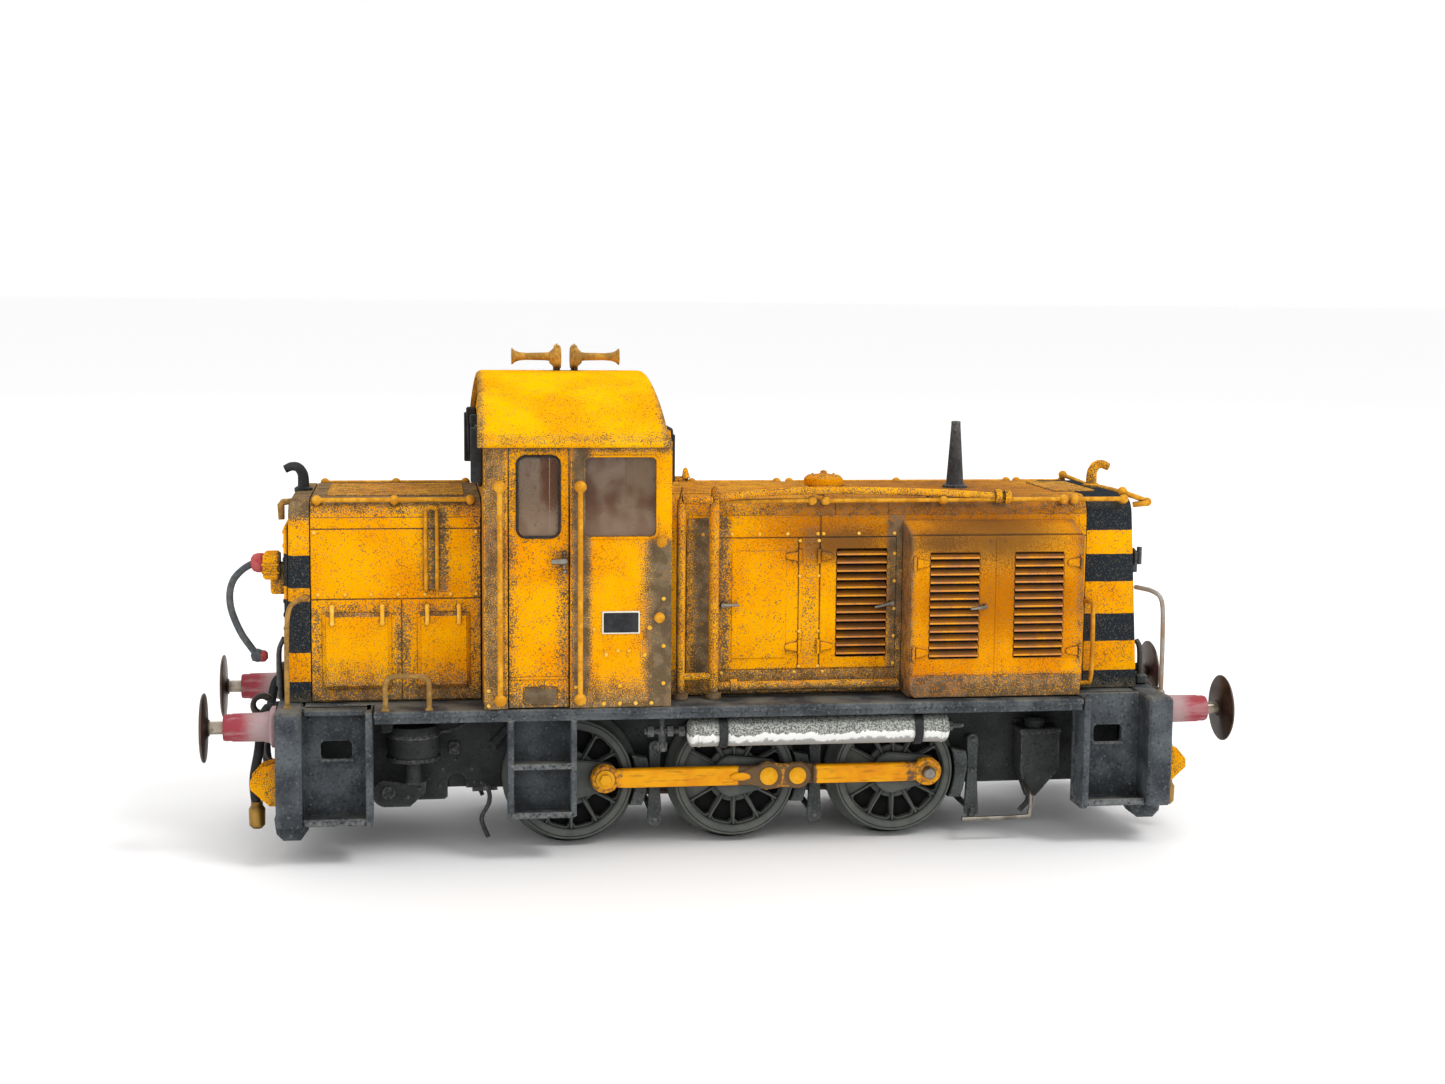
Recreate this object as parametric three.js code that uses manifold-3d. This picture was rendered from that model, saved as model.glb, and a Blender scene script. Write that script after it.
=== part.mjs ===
// A 4 mm scale (1:76.2) model of a six-wheeled, rod-driven diesel shunting locomotive.
// Millimetres, +Z up. +X points to the long bonnet, -Y is the near side. The origin is on the
// surface that the wheel flanges stand on, under the middle of the length over the buffers.
import * as THREE from "three";
import { mergeVertices } from "three/addons/utils/BufferGeometryUtils.js";
import Module from "manifold-3d";

const wasm = await Module();
wasm.setup();

// ---- driving dimensions -------------------------------------------------------------------
const GAP = 0.05; // between fixed pieces that meet
const RUNNING = 0.08; // radial clearance of a shaft or pin in its hole
const HALF_LENGTH = 53.6; // to the faces of the buffers

const DECK_TOP = 15.75;
const DECK_THICK = 1.25;
const DECK_HALF_WIDTH = 16;
const DECK_END = 36.5;

const BEAM_OUTER = 46.1;
const BEAM_INNER = 43.5;
const BEAM_HALF_WIDTH = 16.5;
const BEAM_BOTTOM = 4.2;
const POCKET_WALL = 12.2; // |y| of the recessed wall of the shunter's step
const FRAME_END = 43.4; // the frames run from beam to beam

const AXLE_Z = 7.1;
const WHEELBASE = 17.08; // from one axle to the next
const MIDDLE_AXLE_X = 0.67;
const AXLE_RADIUS = 1;
const WHEEL_BACK = 7.2; // |y| of the wheel backs
const WHEEL_WIDTH = 2.8;
const FLANGE_RADIUS = 7.1;
const TREAD_RADIUS = 6.4;
const SPOKES = 12;
const WEIGHT_SPREAD = 28; // half the angle of a balance weight, in degrees
const CRANK_THROW = 3.4;
const CRANK_REST = THREE.MathUtils.degToRad(4);
const PIN_RADIUS = 0.5;
const ROD_INNER = 10.42; // |y| of the inner face of the coupling rods
const ROD_THICK = 0.9;
const KNUCKLE_OFFSET = 3.05; // from the middle crank pin to the knuckle pin

const GEAR_TEETH = 20;
const GEAR_MODULE = 0.4;
const WORM_PITCH_RADIUS = 2.1;
const SHAFT_RADIUS = 0.75;
const SHAFT_Z = AXLE_Z + (GEAR_TEETH * GEAR_MODULE) / 2 + WORM_PITCH_RADIUS;

const BUFFER_Y = 11.4;
const BUFFER_Z = 13.6;
const BUFFER_HEAD_RADIUS = 3.5;
const BUFFER_STEM_RADIUS = 0.68;
const BUFFER_TRAVEL = 1.3;
const STOCK_FLOOR = 46.5; // where the bore in a stock ends

const BONNET_HALF_WIDTH = 10.4;
const BONNET_HEIGHT = 20.65;
const BONNET_SHOULDER = 1.9;
const BONNET_WALL = 0.9;
const SHORT_BONNET = [-42.7, -25.7];
const LONG_BONNET = [-6.7, 38.1];
const NOSE_SHORT = [-45.2, -42.75];
const NOSE_LONG = [38.15, 44.3];
const NOSE_RAKE = 1.1; // how far the long nose leans back at its top

const CAB = [-25.6, -6.8];
const CAB_HALF_WIDTH = 16;
const CAB_WALL = 0.8;
const ROOF_CREST = 49.1;
const ROOF_RADIUS = 24.2;
const ROOF_THICK = 0.7;
const ROOF_OVERHANG = 0.6;

const BODY_Z = DECK_TOP + GAP; // what stands on the deck starts here
const ROUND = 12; // sides of a shaft, pin or hole
const SIDES = { near: -1, far: 1 };
const ENDS = { short_end: -1, long_end: 1 };

// ---- colours ------------------------------------------------------------------------------
const YELLOW = [0xf5a800, 0.55, 0];
const SLATE = [0x3a3d40, 0.8, 0];
const BLACK = [0x24272b, 0.7, 0];
const WHEEL_GREY = [0x55564f, 0.6, 0.3];
const STEEL = [0x9a9894, 0.35, 1];
const BRONZE = [0x7d6a5a, 0.4, 1];
const BRASS = [0xb59a4a, 0.35, 1];
const FADED_RED = [0xa0565a, 0.7, 0];
const SILVER = [0xb9bab8, 0.45, 0.6];
const CLEAR = [0x8a7a70, 0.1, 0];
const GREEN = [0x2f6b45, 0.5, 0];
const NYLON = [0xe4e0d2, 0.6, 0];
const COPPER = [0xb4713f, 0.4, 1];

// ---- geometry helpers ---------------------------------------------------------------------
function solidOf(geometry) {
  const bare = geometry.index ? geometry.toNonIndexed() : geometry.clone();
  bare.deleteAttribute("normal");
  bare.deleteAttribute("uv");
  const merged = mergeVertices(bare, 1e-4);
  const triVerts = new Uint32Array(merged.index.array);
  const vertProperties = merged.attributes.position.array;
  const made = new wasm.Manifold(new wasm.Mesh({ numProp: 3, vertProperties, triVerts }));
  if (made.volume() > 0) return made;
  for (let i = 0; i < triVerts.length; i += 3) {
    [triVerts[i + 1], triVerts[i + 2]] = [triVerts[i + 2], triVerts[i + 1]];
  }
  return new wasm.Manifold(new wasm.Mesh({ numProp: 3, vertProperties, triVerts }));
}

function geometryOf(solid) {
  const mesh = solid.getMesh();
  const geometry = new THREE.BufferGeometry();
  geometry.setAttribute("position", new THREE.BufferAttribute(mesh.vertProperties, 3));
  geometry.setIndex(new THREE.BufferAttribute(mesh.triVerts, 1));
  const flat = geometry.toNonIndexed();
  flat.computeVertexNormals();
  return flat;
}

const join = (...solids) => solids.flat().reduce((a, b) => a.add(b));
const cut = (base, ...tools) => tools.flat().reduce((a, b) => a.subtract(b), base);
const sorted = (a, b) => (a < b ? [a, b] : [b, a]);

// A box from its ranges along X, Y and Z, in either order.
function block(xs, ys, zs) {
  const [x, y, z] = [xs, ys, zs].map(([a, b]) => sorted(a, b));
  const box = new THREE.BoxGeometry(x[1] - x[0], y[1] - y[0], z[1] - z[0]);
  return solidOf(box.translate((x[0] + x[1]) / 2, (y[0] + y[1]) / 2, (z[0] + z[1]) / 2));
}

// The rotation that takes the drawing plane and its normal to the axes named.
const PLANES = {
  x: new THREE.Matrix4().set(0, 0, 1, 0, 1, 0, 0, 0, 0, 1, 0, 0, 0, 0, 0, 1), // (y, z) along X
  y: new THREE.Matrix4().set(1, 0, 0, 0, 0, 0, -1, 0, 0, 1, 0, 0, 0, 0, 0, 1), // (x, z) along -Y
  z: new THREE.Matrix4(), // (x, y) along Z
};

// An outline of [u, v] points pushed along an axis, from one place on it to another.
function prism(axis, points, from, to, holes = []) {
  const vectors = (list) => list.map(([u, v]) => new THREE.Vector2(u, v));
  const shape = new THREE.Shape(vectors(points));
  for (const hole of holes) shape.holes.push(new THREE.Path(vectors(hole)));
  const [low, high] = sorted(from, to);
  const depth = high - low;
  const geometry = new THREE.ExtrudeGeometry(shape, { depth, bevelEnabled: false });
  geometry.translate(0, 0, axis === "y" ? -high : low);
  return solidOf(geometry.applyMatrix4(PLANES[axis]));
}

// A profile of [radius, place along the axis] points, turned round that axis.
function turned(axis, profile, segments = 14) {
  const points = profile.map(([r, h]) => new THREE.Vector2(r, h));
  const geometry = new THREE.LatheGeometry(points, segments);
  if (axis === "x") geometry.rotateZ(-Math.PI / 2);
  if (axis === "z") geometry.rotateX(Math.PI / 2);
  return solidOf(geometry);
}

const rod = (axis, radius, from, to, segments = ROUND) =>
  turned(axis, [[0, from], [radius, from], [radius, to], [0, to]], segments);

// A round tube along a smooth curve through [x, y, z] points.
function pipe(points, radius, { sides = 6, steps = 10 } = {}) {
  const path = new THREE.CatmullRomCurve3(
    points.map((p) => new THREE.Vector3(...p)), false, "catmullrom", 0.5);
  const ring = arc(0, 0, radius, 0, 2 * Math.PI, sides).slice(0, -1);
  const shape = new THREE.Shape(ring.map(([u, v]) => new THREE.Vector2(u, v)));
  const options = { steps, bevelEnabled: false, extrudePath: path };
  return solidOf(new THREE.ExtrudeGeometry(shape, options));
}

function arc(cu, cv, radius, from, to, steps) {
  return Array.from({ length: steps + 1 }, (_, i) => {
    const a = from + ((to - from) * i) / steps;
    return [cu + radius * Math.cos(a), cv + radius * Math.sin(a)];
  });
}

// A rectangle with round corners, as an outline.
function roundedRect([u0, u1], [v0, v1], radius, steps = 3) {
  const q = Math.PI / 2;
  return [
    ...arc(u1 - radius, v0 + radius, radius, -q, 0, steps),
    ...arc(u1 - radius, v1 - radius, radius, 0, q, steps),
    ...arc(u0 + radius, v1 - radius, radius, q, 2 * q, steps),
    ...arc(u0 + radius, v0 + radius, radius, 2 * q, 3 * q, steps),
  ];
}

// The outline round two circles on one line, such as a rod with an eye at each end.
function barWithEyes(u0, u1, v, eyeRadius, halfHeight, steps = 7) {
  const lean = Math.asin(halfHeight / eyeRadius);
  return [
    ...arc(u1, v, eyeRadius, -Math.PI + lean, Math.PI - lean, steps),
    ...arc(u0, v, eyeRadius, lean, 2 * Math.PI - lean, steps),
  ];
}

const model = new THREE.Group();

function add(name, solid, [color, roughness, metalness], parent = model) {
  const material = new THREE.MeshStandardMaterial({ color, roughness, metalness });
  const mesh = new THREE.Mesh(geometryOf(solid), material);
  mesh.name = name;
  parent.add(mesh);
  return mesh;
}

function group(parent, x, y, z) {
  const made = new THREE.Group();
  made.position.set(x, y, z);
  parent.add(made);
  return made;
}

// ---- underframe ---------------------------------------------------------------------------
const MECHANISM_WELL = { x: [-5.9, 34.4], halfWidth: 6.7 }; // the hole in the deck

function footplate() {
  const zs = [DECK_TOP - DECK_THICK, DECK_TOP];
  const wide = block([-DECK_END, DECK_END - 0.1], [-DECK_HALF_WIDTH, DECK_HALF_WIDTH], zs);
  const inner = POCKET_WALL - 0.7;
  const long = block([-BEAM_INNER + GAP, BEAM_INNER - GAP], [-inner, inner], zs);
  const well = MECHANISM_WELL.halfWidth;
  return cut(join(wide, long), block(MECHANISM_WELL.x, [-well, well], [0, DECK_TOP + 1]));
}

// The buffer beam at one end, with the shunter's step let in behind it on each side.
function bufferBeam(end) {
  const x = (...values) => values.map((v) => end * v);
  const plate = block(x(BEAM_INNER, BEAM_OUTER), [-BEAM_HALF_WIDTH, BEAM_HALF_WIDTH],
    [BEAM_BOTTOM, DECK_TOP]);
  const pieces = [plate];
  for (const side of Object.values(SIDES)) {
    const y = (...values) => values.map((v) => side * v);
    const wallX = x(DECK_END + GAP, BEAM_INNER);
    const wall = block(wallX, y(POCKET_WALL - 0.6, POCKET_WALL), [BEAM_BOTTOM, DECK_TOP]);
    const slot = prism("y", roundedRect(sorted(...x(38.7, 41.8)), [10.4, 12.3], 0.5, 2),
      ...y(POCKET_WALL - 2, POCKET_WALL + 2));
    const tread = block(wallX, y(POCKET_WALL - 0.6, 15.6), [BEAM_BOTTOM, BEAM_BOTTOM + 0.55]);
    const flange = block(x(DECK_END + GAP, 37.25), y(POCKET_WALL - 0.6, 16.2),
      [BEAM_BOTTOM - 0.2, DECK_TOP - 0.3]);
    const foot = prism("y", [
      [42.9, 4.4], [43.1, 3.2], [43.9, 2.1], [45.6, 2.1], [46.3, 2.8], [46.5, 4.4],
    ].map(([u, v]) => [end * u, v]), ...y(8.6, 12.8));
    const bracket = prism("y", [
      [end * (BEAM_OUTER - 0.2), 10.3], [end * 48.6, 8.9], [end * 48.6, 7.6],
      [end * (BEAM_OUTER - 0.2), 6],
    ], ...y(10.4, 13.4));
    pieces.push(cut(wall, slot), tread, flange, foot, bracket);
  }
  return join(pieces);
}

const BRAKE_X = [-7.6, 9.45, 26.6];

// Six hangers with their blocks, three cross shafts and one pull rod, moulded as one frame.
function brakeRigging() {
  const pieces = [rod("x", 0.35, BRAKE_X[0], BRAKE_X[2], 6).translate([0, 3.5, 2.6])];
  for (const x of BRAKE_X) {
    pieces.push(rod("y", 0.35, -8.8, 8.8, 6).translate([x, 0, 2.6]));
    for (const side of Object.values(SIDES)) {
      const hanger = prism("y", roundedRect([x - 0.55, x + 0.55], [1.7, 10.7], 0.5, 1),
        side * 8.4, side * 9.2);
      const wheelX = x - 8.85;
      const shoe = prism("y", [
        ...arc(wheelX, AXLE_Z, TREAD_RADIUS + 0.4, -0.5, 0.32, 3),
        ...arc(wheelX, AXLE_Z, TREAD_RADIUS + 2.05, 0.25, -0.4, 3),
      ], side * 8.5, side * 9.7);
      const pin = rod("y", 0.3, ...sorted(side * 6.85, side * 8.6), 6).translate([x, 0, 9.9]);
      pieces.push(hanger, shoe, pin);
    }
  }
  return join(pieces);
}

function airTank(side) {
  const radius = 1.53;
  const [x0, x1] = [-4.75, 22.4];
  const tank = turned("x", [
    [0, x0], [radius - 0.25, x0], [radius, x0 + 0.4], [radius, x1 - 0.4], [radius - 0.25, x1],
    [0, x1],
  ]).translate([0, side * 14.15, 12.5]);
  const straps = [-1.3, 19.1].map((x) =>
    block([x - 0.4, x + 0.4], [side * 13.7, side * 14.6], [12.5, 14.45]));
  const outlet = rod("x", 0.35, x1 - 0.5, 24.1, 8).translate([0, side * 14.15, 12.9]);
  const inlet = rod("x", 0.35, -8.9, x0 + 0.5, 8).translate([0, side * 13.2, 12.8]);
  const drain = rod("z", 0.4, 10.8, 13, 8).translate([-7.4, side * 13.2, 0]);
  return join(tank, straps, outlet, inlet, drain);
}

function cabSteps(side) {
  const y = (...values) => sorted(...values.map((v) => side * v));
  const [x0, x1] = [-23.2, -16.3];
  const plates = [[x0, x0 + 0.6], [x1 - 0.6, x1]].map((xs) => block(xs, y(13, 16), [4.6, 14.45]));
  const back = block([x0, x1], y(13, 13.5), [4.6, 14.45]);
  const treads = [4.6, 9.55].map((z) => block([x0, x1], y(13, 16), [z, z + 0.45]));
  return join(back, plates, treads);
}

// ---- mechanism ----------------------------------------------------------------------------
const AXLE_X = [-1, 0, 1].map((i) => MIDDLE_AXLE_X + i * WHEELBASE);
const MOTOR = { x: [6.6, 22.2], halfWidth: 6, z: [8.75, 2 * SHAFT_Z - 8.75] };
const FLYWHEEL = { x: [24, 28.6], radius: 5 };
const BOARD_Z = 22;
const KEEPER = { x: [-21, 23], z: [4.75, 5.95] };

function axleSlots(width) {
  return AXLE_X.map((x) => join(
    block([x - width, x + width], [-8, 8], [4, AXLE_Z]),
    rod("y", width / Math.cos(Math.PI / ROUND), -8, 8).translate([x, 0, AXLE_Z]),
  ));
}

function chassisBlock() {
  const half = 6.6;
  const centred = (x0, x1, z0, z1, w = half) => block([x0, x1], [-w, w], [z0, z1]);
  const top = DECK_TOP - DECK_THICK - GAP;
  const body = join(
    centred(-FRAME_END, FRAME_END, 6, top),
    centred(-FRAME_END, -29.1, 4.65, 7),
    centred(-29.2, KEEPER.x[0] - GAP, 5.8, 7),
    centred(KEEPER.x[1] + GAP, FRAME_END, 5, 7),
    centred(-5.6, -3.6, 12, BOARD_Z - GAP, 5.5),
    centred(31.2, 34, 12, BOARD_Z - GAP, 5.5),
  );
  const sandboxes = Object.values(SIDES).map((side) => prism("y", [
    [31.6, 11], [31.6, 6.6], [33, 3.7], [33.8, 3.7], [35.8, 6.6], [35.8, 11],
  ], side * 6, side * 10.2));
  const cylinders = Object.values(SIDES).flatMap((side) => [
    rod("z", 2.5, 9.8, 13.6).translate([-32.4, side * 8.8, 0]),
    rod("z", 1, 6.6, 10).translate([-32.4, side * 8.8, 0]),
    block([-32.8, -32], sorted(side * 6, side * 8.8), [7, 12]),
  ]);
  return cut(
    join(body, sandboxes, cylinders),
    axleSlots(AXLE_RADIUS + RUNNING),
    block([-3.6, MOTOR.x[0] - 0.8], [-4.4, 4.4], [9, 16]), // the worm's bay
    block([-3.9, 5.3], [-1.7, 1.7], [3, 16]), // the worm wheel's slot
    block([MOTOR.x[0] - 0.85, MOTOR.x[1] + 1], [-8, 8], [MOTOR.z[0] - GAP, 16]), // the motor's bay
    block([MOTOR.x[1] + 0.9, 31.2], [-8, 8], [7.6, 16]), // the flywheel's bay
    rod("x", SHAFT_RADIUS + RUNNING, -5.1, -3).translate([0, 0, SHAFT_Z]),
    block([-29.1, -27.2], [-8, 8], [4, 6.4]), // the notch behind the brake cylinder
    rod("y", 0.95, -8, 8).translate([-28.15, 0, 6.4]),
  );
}

function keeperPlate() {
  const plate = block(KEEPER.x, [-6.2, 6.2], KEEPER.z);
  const slot = block([-3.9, 5.3], [-1.7, 1.7], [4, 7]);
  const screws = [-12, 8.5].map((x) =>
    rod("z", 1.1, KEEPER.z[0] - 0.35, KEEPER.z[0] + 0.2, 12).translate([x, 0, 0]));
  return join(cut(plate, slot), screws);
}

// An insulating strip with one springy finger behind each wheel.
function pickupPlate() {
  const zs = [KEEPER.z[0] - 0.45, KEEPER.z[0] - GAP];
  const strips = Object.values(SIDES).map((side) =>
    block([AXLE_X[0] - 3, AXLE_X[2] + 3], sorted(side * 4.4, side * 5.6), zs));
  const bridge = block([11, 13], [-5, 5], zs);
  const fingers = AXLE_X.flatMap((x) => Object.values(SIDES).map((side) =>
    prism("x", [[5.2, zs[0]], [7.1, zs[0] - 0.6], [7.1, zs[0] - 0.2], [5.2, zs[1]]]
      .map(([y, z]) => [side * y, z]), x + 2, x + 2.8)));
  return join(strips, bridge, fingers);
}

function motorCase() {
  const [z0, z1] = MOTOR.z;
  const centre = (z0 + z1) / 2;
  const can = prism("x", roundedRect([-MOTOR.halfWidth, MOTOR.halfWidth], [z0, z1], 1.6), ...MOTOR.x);
  const nose = rod("x", 1.9, MOTOR.x[0] - 0.6, MOTOR.x[0] + 0.1, 12).translate([0, 0, centre]);
  const tail = rod("x", 1.9, MOTOR.x[1] - 0.1, MOTOR.x[1] + 0.6, 12).translate([0, 0, centre]);
  const tags = Object.values(SIDES).map((side) =>
    block([MOTOR.x[1] - 0.1, MOTOR.x[1] + 0.8], sorted(side * 3.2, side * 3.6), [z1 - 2.4, z1 - 0.9]));
  const bore = rod("x", SHAFT_RADIUS + RUNNING, MOTOR.x[0] - 1, MOTOR.x[1] + 1)
    .translate([0, 0, centre]);
  return cut(join(can, nose, tail, tags), bore);
}

function circuitBoard() {
  const board = block([-5.6, 34], [-8, 8], [BOARD_Z, BOARD_Z + 0.8]);
  const socket = block([2, 12], [-3, 3], [BOARD_Z + 0.8 - 0.01, BOARD_Z + 3]);
  const chips = [[16, 20], [23, 25], [27, 29]].map((xs) =>
    block(xs, [-2.2, 2.2], [BOARD_Z + 0.79, BOARD_Z + 1.6]));
  return join(board, socket, chips);
}

// One thread wound round the shaft, with its lead equal to the worm wheel's pitch.
function worm() {
  const lead = Math.PI * GEAR_MODULE;
  const root = WORM_PITCH_RADIUS - 0.5;
  const tip = WORM_PITCH_RADIUS + 0.3;
  const half = 2.4;
  const core = rod("x", root, -half - 0.5, half + 0.5);
  const perTurn = 12;
  const turns = Math.floor((2 * half - lead) / lead);
  const count = Math.round(perTurn * turns);
  const section = [[root - 0.2, -0.33], [tip, -0.15], [tip, 0.15], [root - 0.2, 0.33]];
  const rings = Array.from({ length: count + 1 }, (_, i) => {
    const turn = i / perTurn - turns / 2;
    const angle = -Math.PI / 2 + turn * 2 * Math.PI;
    return section.map(([r, x]) =>
      [turn * lead + x, r * Math.cos(angle), r * Math.sin(angle)]);
  });
  const positions = rings.flat(2);
  const index = [];
  for (let i = 0; i < count; i++) {
    for (let k = 0; k < 4; k++) {
      const [a, b] = [4 * i + k, 4 * i + ((k + 1) % 4)];
      index.push(a, b, b + 4, a, b + 4, a + 4);
    }
  }
  const last = 4 * count;
  index.push(0, 2, 1, 0, 3, 2, last, last + 1, last + 2, last, last + 2, last + 3);
  const thread = new THREE.BufferGeometry();
  thread.setAttribute("position", new THREE.Float32BufferAttribute(positions, 3));
  thread.setIndex(index);
  const bore = rod("x", SHAFT_RADIUS + 0.02, -5, 5);
  return cut(join(core, solidOf(thread)), bore);
}

// Trapezium teeth, with a gap between two of them at the top, where the worm meets them.
function wormWheel() {
  const pitch = (GEAR_TEETH * GEAR_MODULE) / 2;
  const [root, tip] = [pitch - 0.5, pitch + 0.3];
  const step = (2 * Math.PI) / GEAR_TEETH;
  const outline = Array.from({ length: GEAR_TEETH }, (_, i) => {
    const middle = Math.PI / 2 + (i + 0.5) * step;
    return [[root, -0.26], [tip, -0.1], [tip, 0.1], [root, 0.26]].map(([r, part]) =>
      [r * Math.cos(middle + part * step), r * Math.sin(middle + part * step)]);
  }).flat();
  const disc = prism("y", outline, -1.1, 1.1);
  const hub = rod("y", 1.9, -1.5, 1.5);
  return cut(join(disc, hub), rod("y", AXLE_RADIUS + 0.02, -3, 3));
}

// One wheel in its own frame: axis along Y, axle at the origin, crank at the angle given. Its
// spokes stand on the hours of a clock, a balance weight fills two gaps opposite the crank, and a
// thin web closes the back.
function wheel(side, crank) {
  const y = (w) => side * (WHEEL_BACK + w);
  const tyre = turned("y", [
    [5.35, 0], [FLANGE_RADIUS, 0.3], [TREAD_RADIUS + 0.1, 0.95],
    [TREAD_RADIUS, WHEEL_WIDTH], [5.35, WHEEL_WIDTH], [5.35, 0],
  ].map(([r, w]) => [r, y(w)]), 24);
  const hub = rod("y", 2.1, ...sorted(y(0.2), y(WHEEL_WIDTH)));
  const back = rod("y", 5.6, ...sorted(y(0.5), y(1.2)), 24);
  const spokes = Array.from({ length: SPOKES }, (_, i) =>
    block([1.5, 5.6], [y(1), y(2)], [-0.28, 0.28]).rotate([0, (i * 360) / SPOKES, 0]));
  const web = prism("y", [
    ...arc(CRANK_THROW, 0, 1.35, -Math.PI / 2, Math.PI / 2, 4),
    ...arc(0, 0, 2.1, Math.PI / 2, (3 * Math.PI) / 2, 6),
  ], y(1.4), y(3.1));
  const spread = THREE.MathUtils.degToRad(WEIGHT_SPREAD);
  const weight = prism("y", [
    ...arc(0, 0, 5.5, Math.PI - spread, Math.PI + spread, 4),
    ...arc(0, 0, 1.9, Math.PI + spread, Math.PI - spread, 2),
  ], y(1.1), y(2.1));
  const turn = -THREE.MathUtils.radToDeg(crank);
  const pinEnd = side * (ROD_INNER + ROD_THICK + 0.1);
  const pin = rod("y", PIN_RADIUS, ...sorted(y(2), pinEnd), 12).translate([CRANK_THROW, 0, 0]);
  const head = rod("y", 0.85, ...sorted(pinEnd - side * 0.02, pinEnd + side * 0.5), 8)
    .translate([CRANK_THROW, 0, 0]);
  const crankWork = join(web, weight, pin, head).rotate([0, turn, 0]);
  const bore = rod("y", AXLE_RADIUS + 0.02, ...sorted(side * 5, side * 12));
  return cut(join(tyre, hub, back, spokes, crankWork), bore);
}

const axle = () => rod("y", AXLE_RADIUS, -10.2, 10.2);

// The longer rod carries the middle crank bearing and the outer half of the knuckle.
function rodWithKnuckle(side) {
  const [y0, y1] = [side * ROD_INNER, side * (ROD_INNER + ROD_THICK)];
  const half = side * (ROD_INNER + ROD_THICK / 2);
  const bar = prism("y", barWithEyes(-WHEELBASE, 0, 0, 1.52, 1), y0, y1);
  const ear = prism("y", barWithEyes(0, KNUCKLE_OFFSET, 0, 1.45, 1.1), half, y1);
  const pin = rod("y", 0.4, ...sorted(side * (ROD_INNER - 0.1), half + side * 0.1), 12)
    .translate([KNUCKLE_OFFSET, 0, 0]);
  const holes = [-WHEELBASE, 0].map((x) =>
    rod("y", PIN_RADIUS + RUNNING, ...sorted(side * 9, side * 13), 12).translate([x, 0, 0]));
  return join(cut(join(bar, ear), holes), pin);
}

function rodWithTongue(side) {
  const [y0, y1] = [side * ROD_INNER, side * (ROD_INNER + ROD_THICK)];
  const half = side * (ROD_INNER + ROD_THICK / 2 - GAP);
  const tongue = prism("y", barWithEyes(KNUCKLE_OFFSET, WHEELBASE, 0, 1.2, 1), y0, half);
  const bar = block([KNUCKLE_OFFSET + 1.6, WHEELBASE], [y0, y1], [-1, 1]);
  const eye = rod("y", 1.52, ...sorted(y0, y1)).translate([WHEELBASE, 0, 0]);
  const holes = [[KNUCKLE_OFFSET, 0.4], [WHEELBASE, PIN_RADIUS]].map(([x, radius]) =>
    rod("y", radius + RUNNING, ...sorted(side * 9, side * 13), 12).translate([x, 0, 0]));
  return cut(join(tongue, bar, eye), holes);
}

// ---- buffers, hooks and pipes on the beams -------------------------------------------------
function bufferStock(end) {
  return turned("x", [
    [BUFFER_STEM_RADIUS + RUNNING, 51.4], [1.3, 51.4], [1.5, 46.75],
    [1.9, 46.7], [1.9, BEAM_OUTER + GAP], [0, BEAM_OUTER + GAP], [0, STOCK_FLOOR],
    [BUFFER_STEM_RADIUS + RUNNING, STOCK_FLOOR], [BUFFER_STEM_RADIUS + RUNNING, 51.4],
  ].map(([r, x]) => [r, end * x]));
}

function bufferHead(end) {
  const face = HALF_LENGTH;
  const stemEnd = STOCK_FLOOR + BUFFER_TRAVEL + 0.1;
  return turned("x", [
    [0, face], [3.3, face], [BUFFER_HEAD_RADIUS, face - 0.12],
    [BUFFER_HEAD_RADIUS, face - 0.4], [1, face - 0.5], [BUFFER_STEM_RADIUS, face - 0.75],
    [BUFFER_STEM_RADIUS, stemEnd], [0, stemEnd],
  ].map(([r, x]) => [r, end * x]), 20);
}

function drawHook(end) {
  const root = BEAM_OUTER + GAP;
  const turn = (3 * Math.PI) / 4;
  const hook = join(
    block([root, 46.5], [-1.1, 1.1], [11.6, 14.2]),
    block([root, 48.5], [-0.35, 0.35], [12.3, 13.1]),
    prism("y", [
      ...arc(48.3, 13.6, 1.3, -Math.PI / 2, turn, 6), ...arc(48.3, 13.6, 0.6, turn, -Math.PI / 2, 4),
    ], -0.35, 0.35),
  );
  return end > 0 ? hook : hook.mirror([1, 0, 0]);
}

const JUMPER = { y: -6.2, box: [-47.9, -45.85], z: [28.1, 30.7] };

function jumperBox() {
  const { y, box: [x0, x1], z: [z0, z1] } = JUMPER;
  const cover = block([x0, x1], [y - 1.6, y + 1.6], [z0, z1]);
  const cap = turned("x", [[0, -0.9], [0.75, -0.9], [1, 0], [0, 0]], 12)
    .translate([x0 + 0.01, y, z0 + 1.5]);
  const bracket = block([x1 - 0.4, NOSE_SHORT[0] - GAP], [y - 0.8, y + 0.8], [z0 - 1.7, z0 + 0.5]);
  return join(cover, cap, bracket);
}

function jumperHose() {
  const { y } = JUMPER;
  const hose = pipe([
    [-48.9, y, 29.55], [-49.9, y, 29], [-50.9, y, 27.6], [-51.2, y, 25.9], [-50.6, y, 23.6],
    [-49.6, y, 21.7], [-48.8, y, 20.6],
  ], 0.34, { steps: 12 });
  const end = turned("x", [[0, -0.9], [0.5, -0.7], [0.62, 0], [0.5, 0.7], [0, 0.95]], 8)
    .rotate([0, 35, 0]).translate([-48.3, y, 20]);
  return join(hose, end);
}

// ---- superstructure ------------------------------------------------------------------------
// The bonnet's cross-section: upright sides, round shoulders and a flat top.
function bonnetOutline(inset = 0) {
  const w = BONNET_HALF_WIDTH - inset;
  const h = BONNET_HEIGHT - inset;
  const r = BONNET_SHOULDER - inset * 0.6;
  return [
    [-w, 0], [w, 0], ...arc(w - r, h - r, r, 0, Math.PI / 2, 4),
    ...arc(-w + r, h - r, r, Math.PI / 2, Math.PI, 4),
  ];
}

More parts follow.
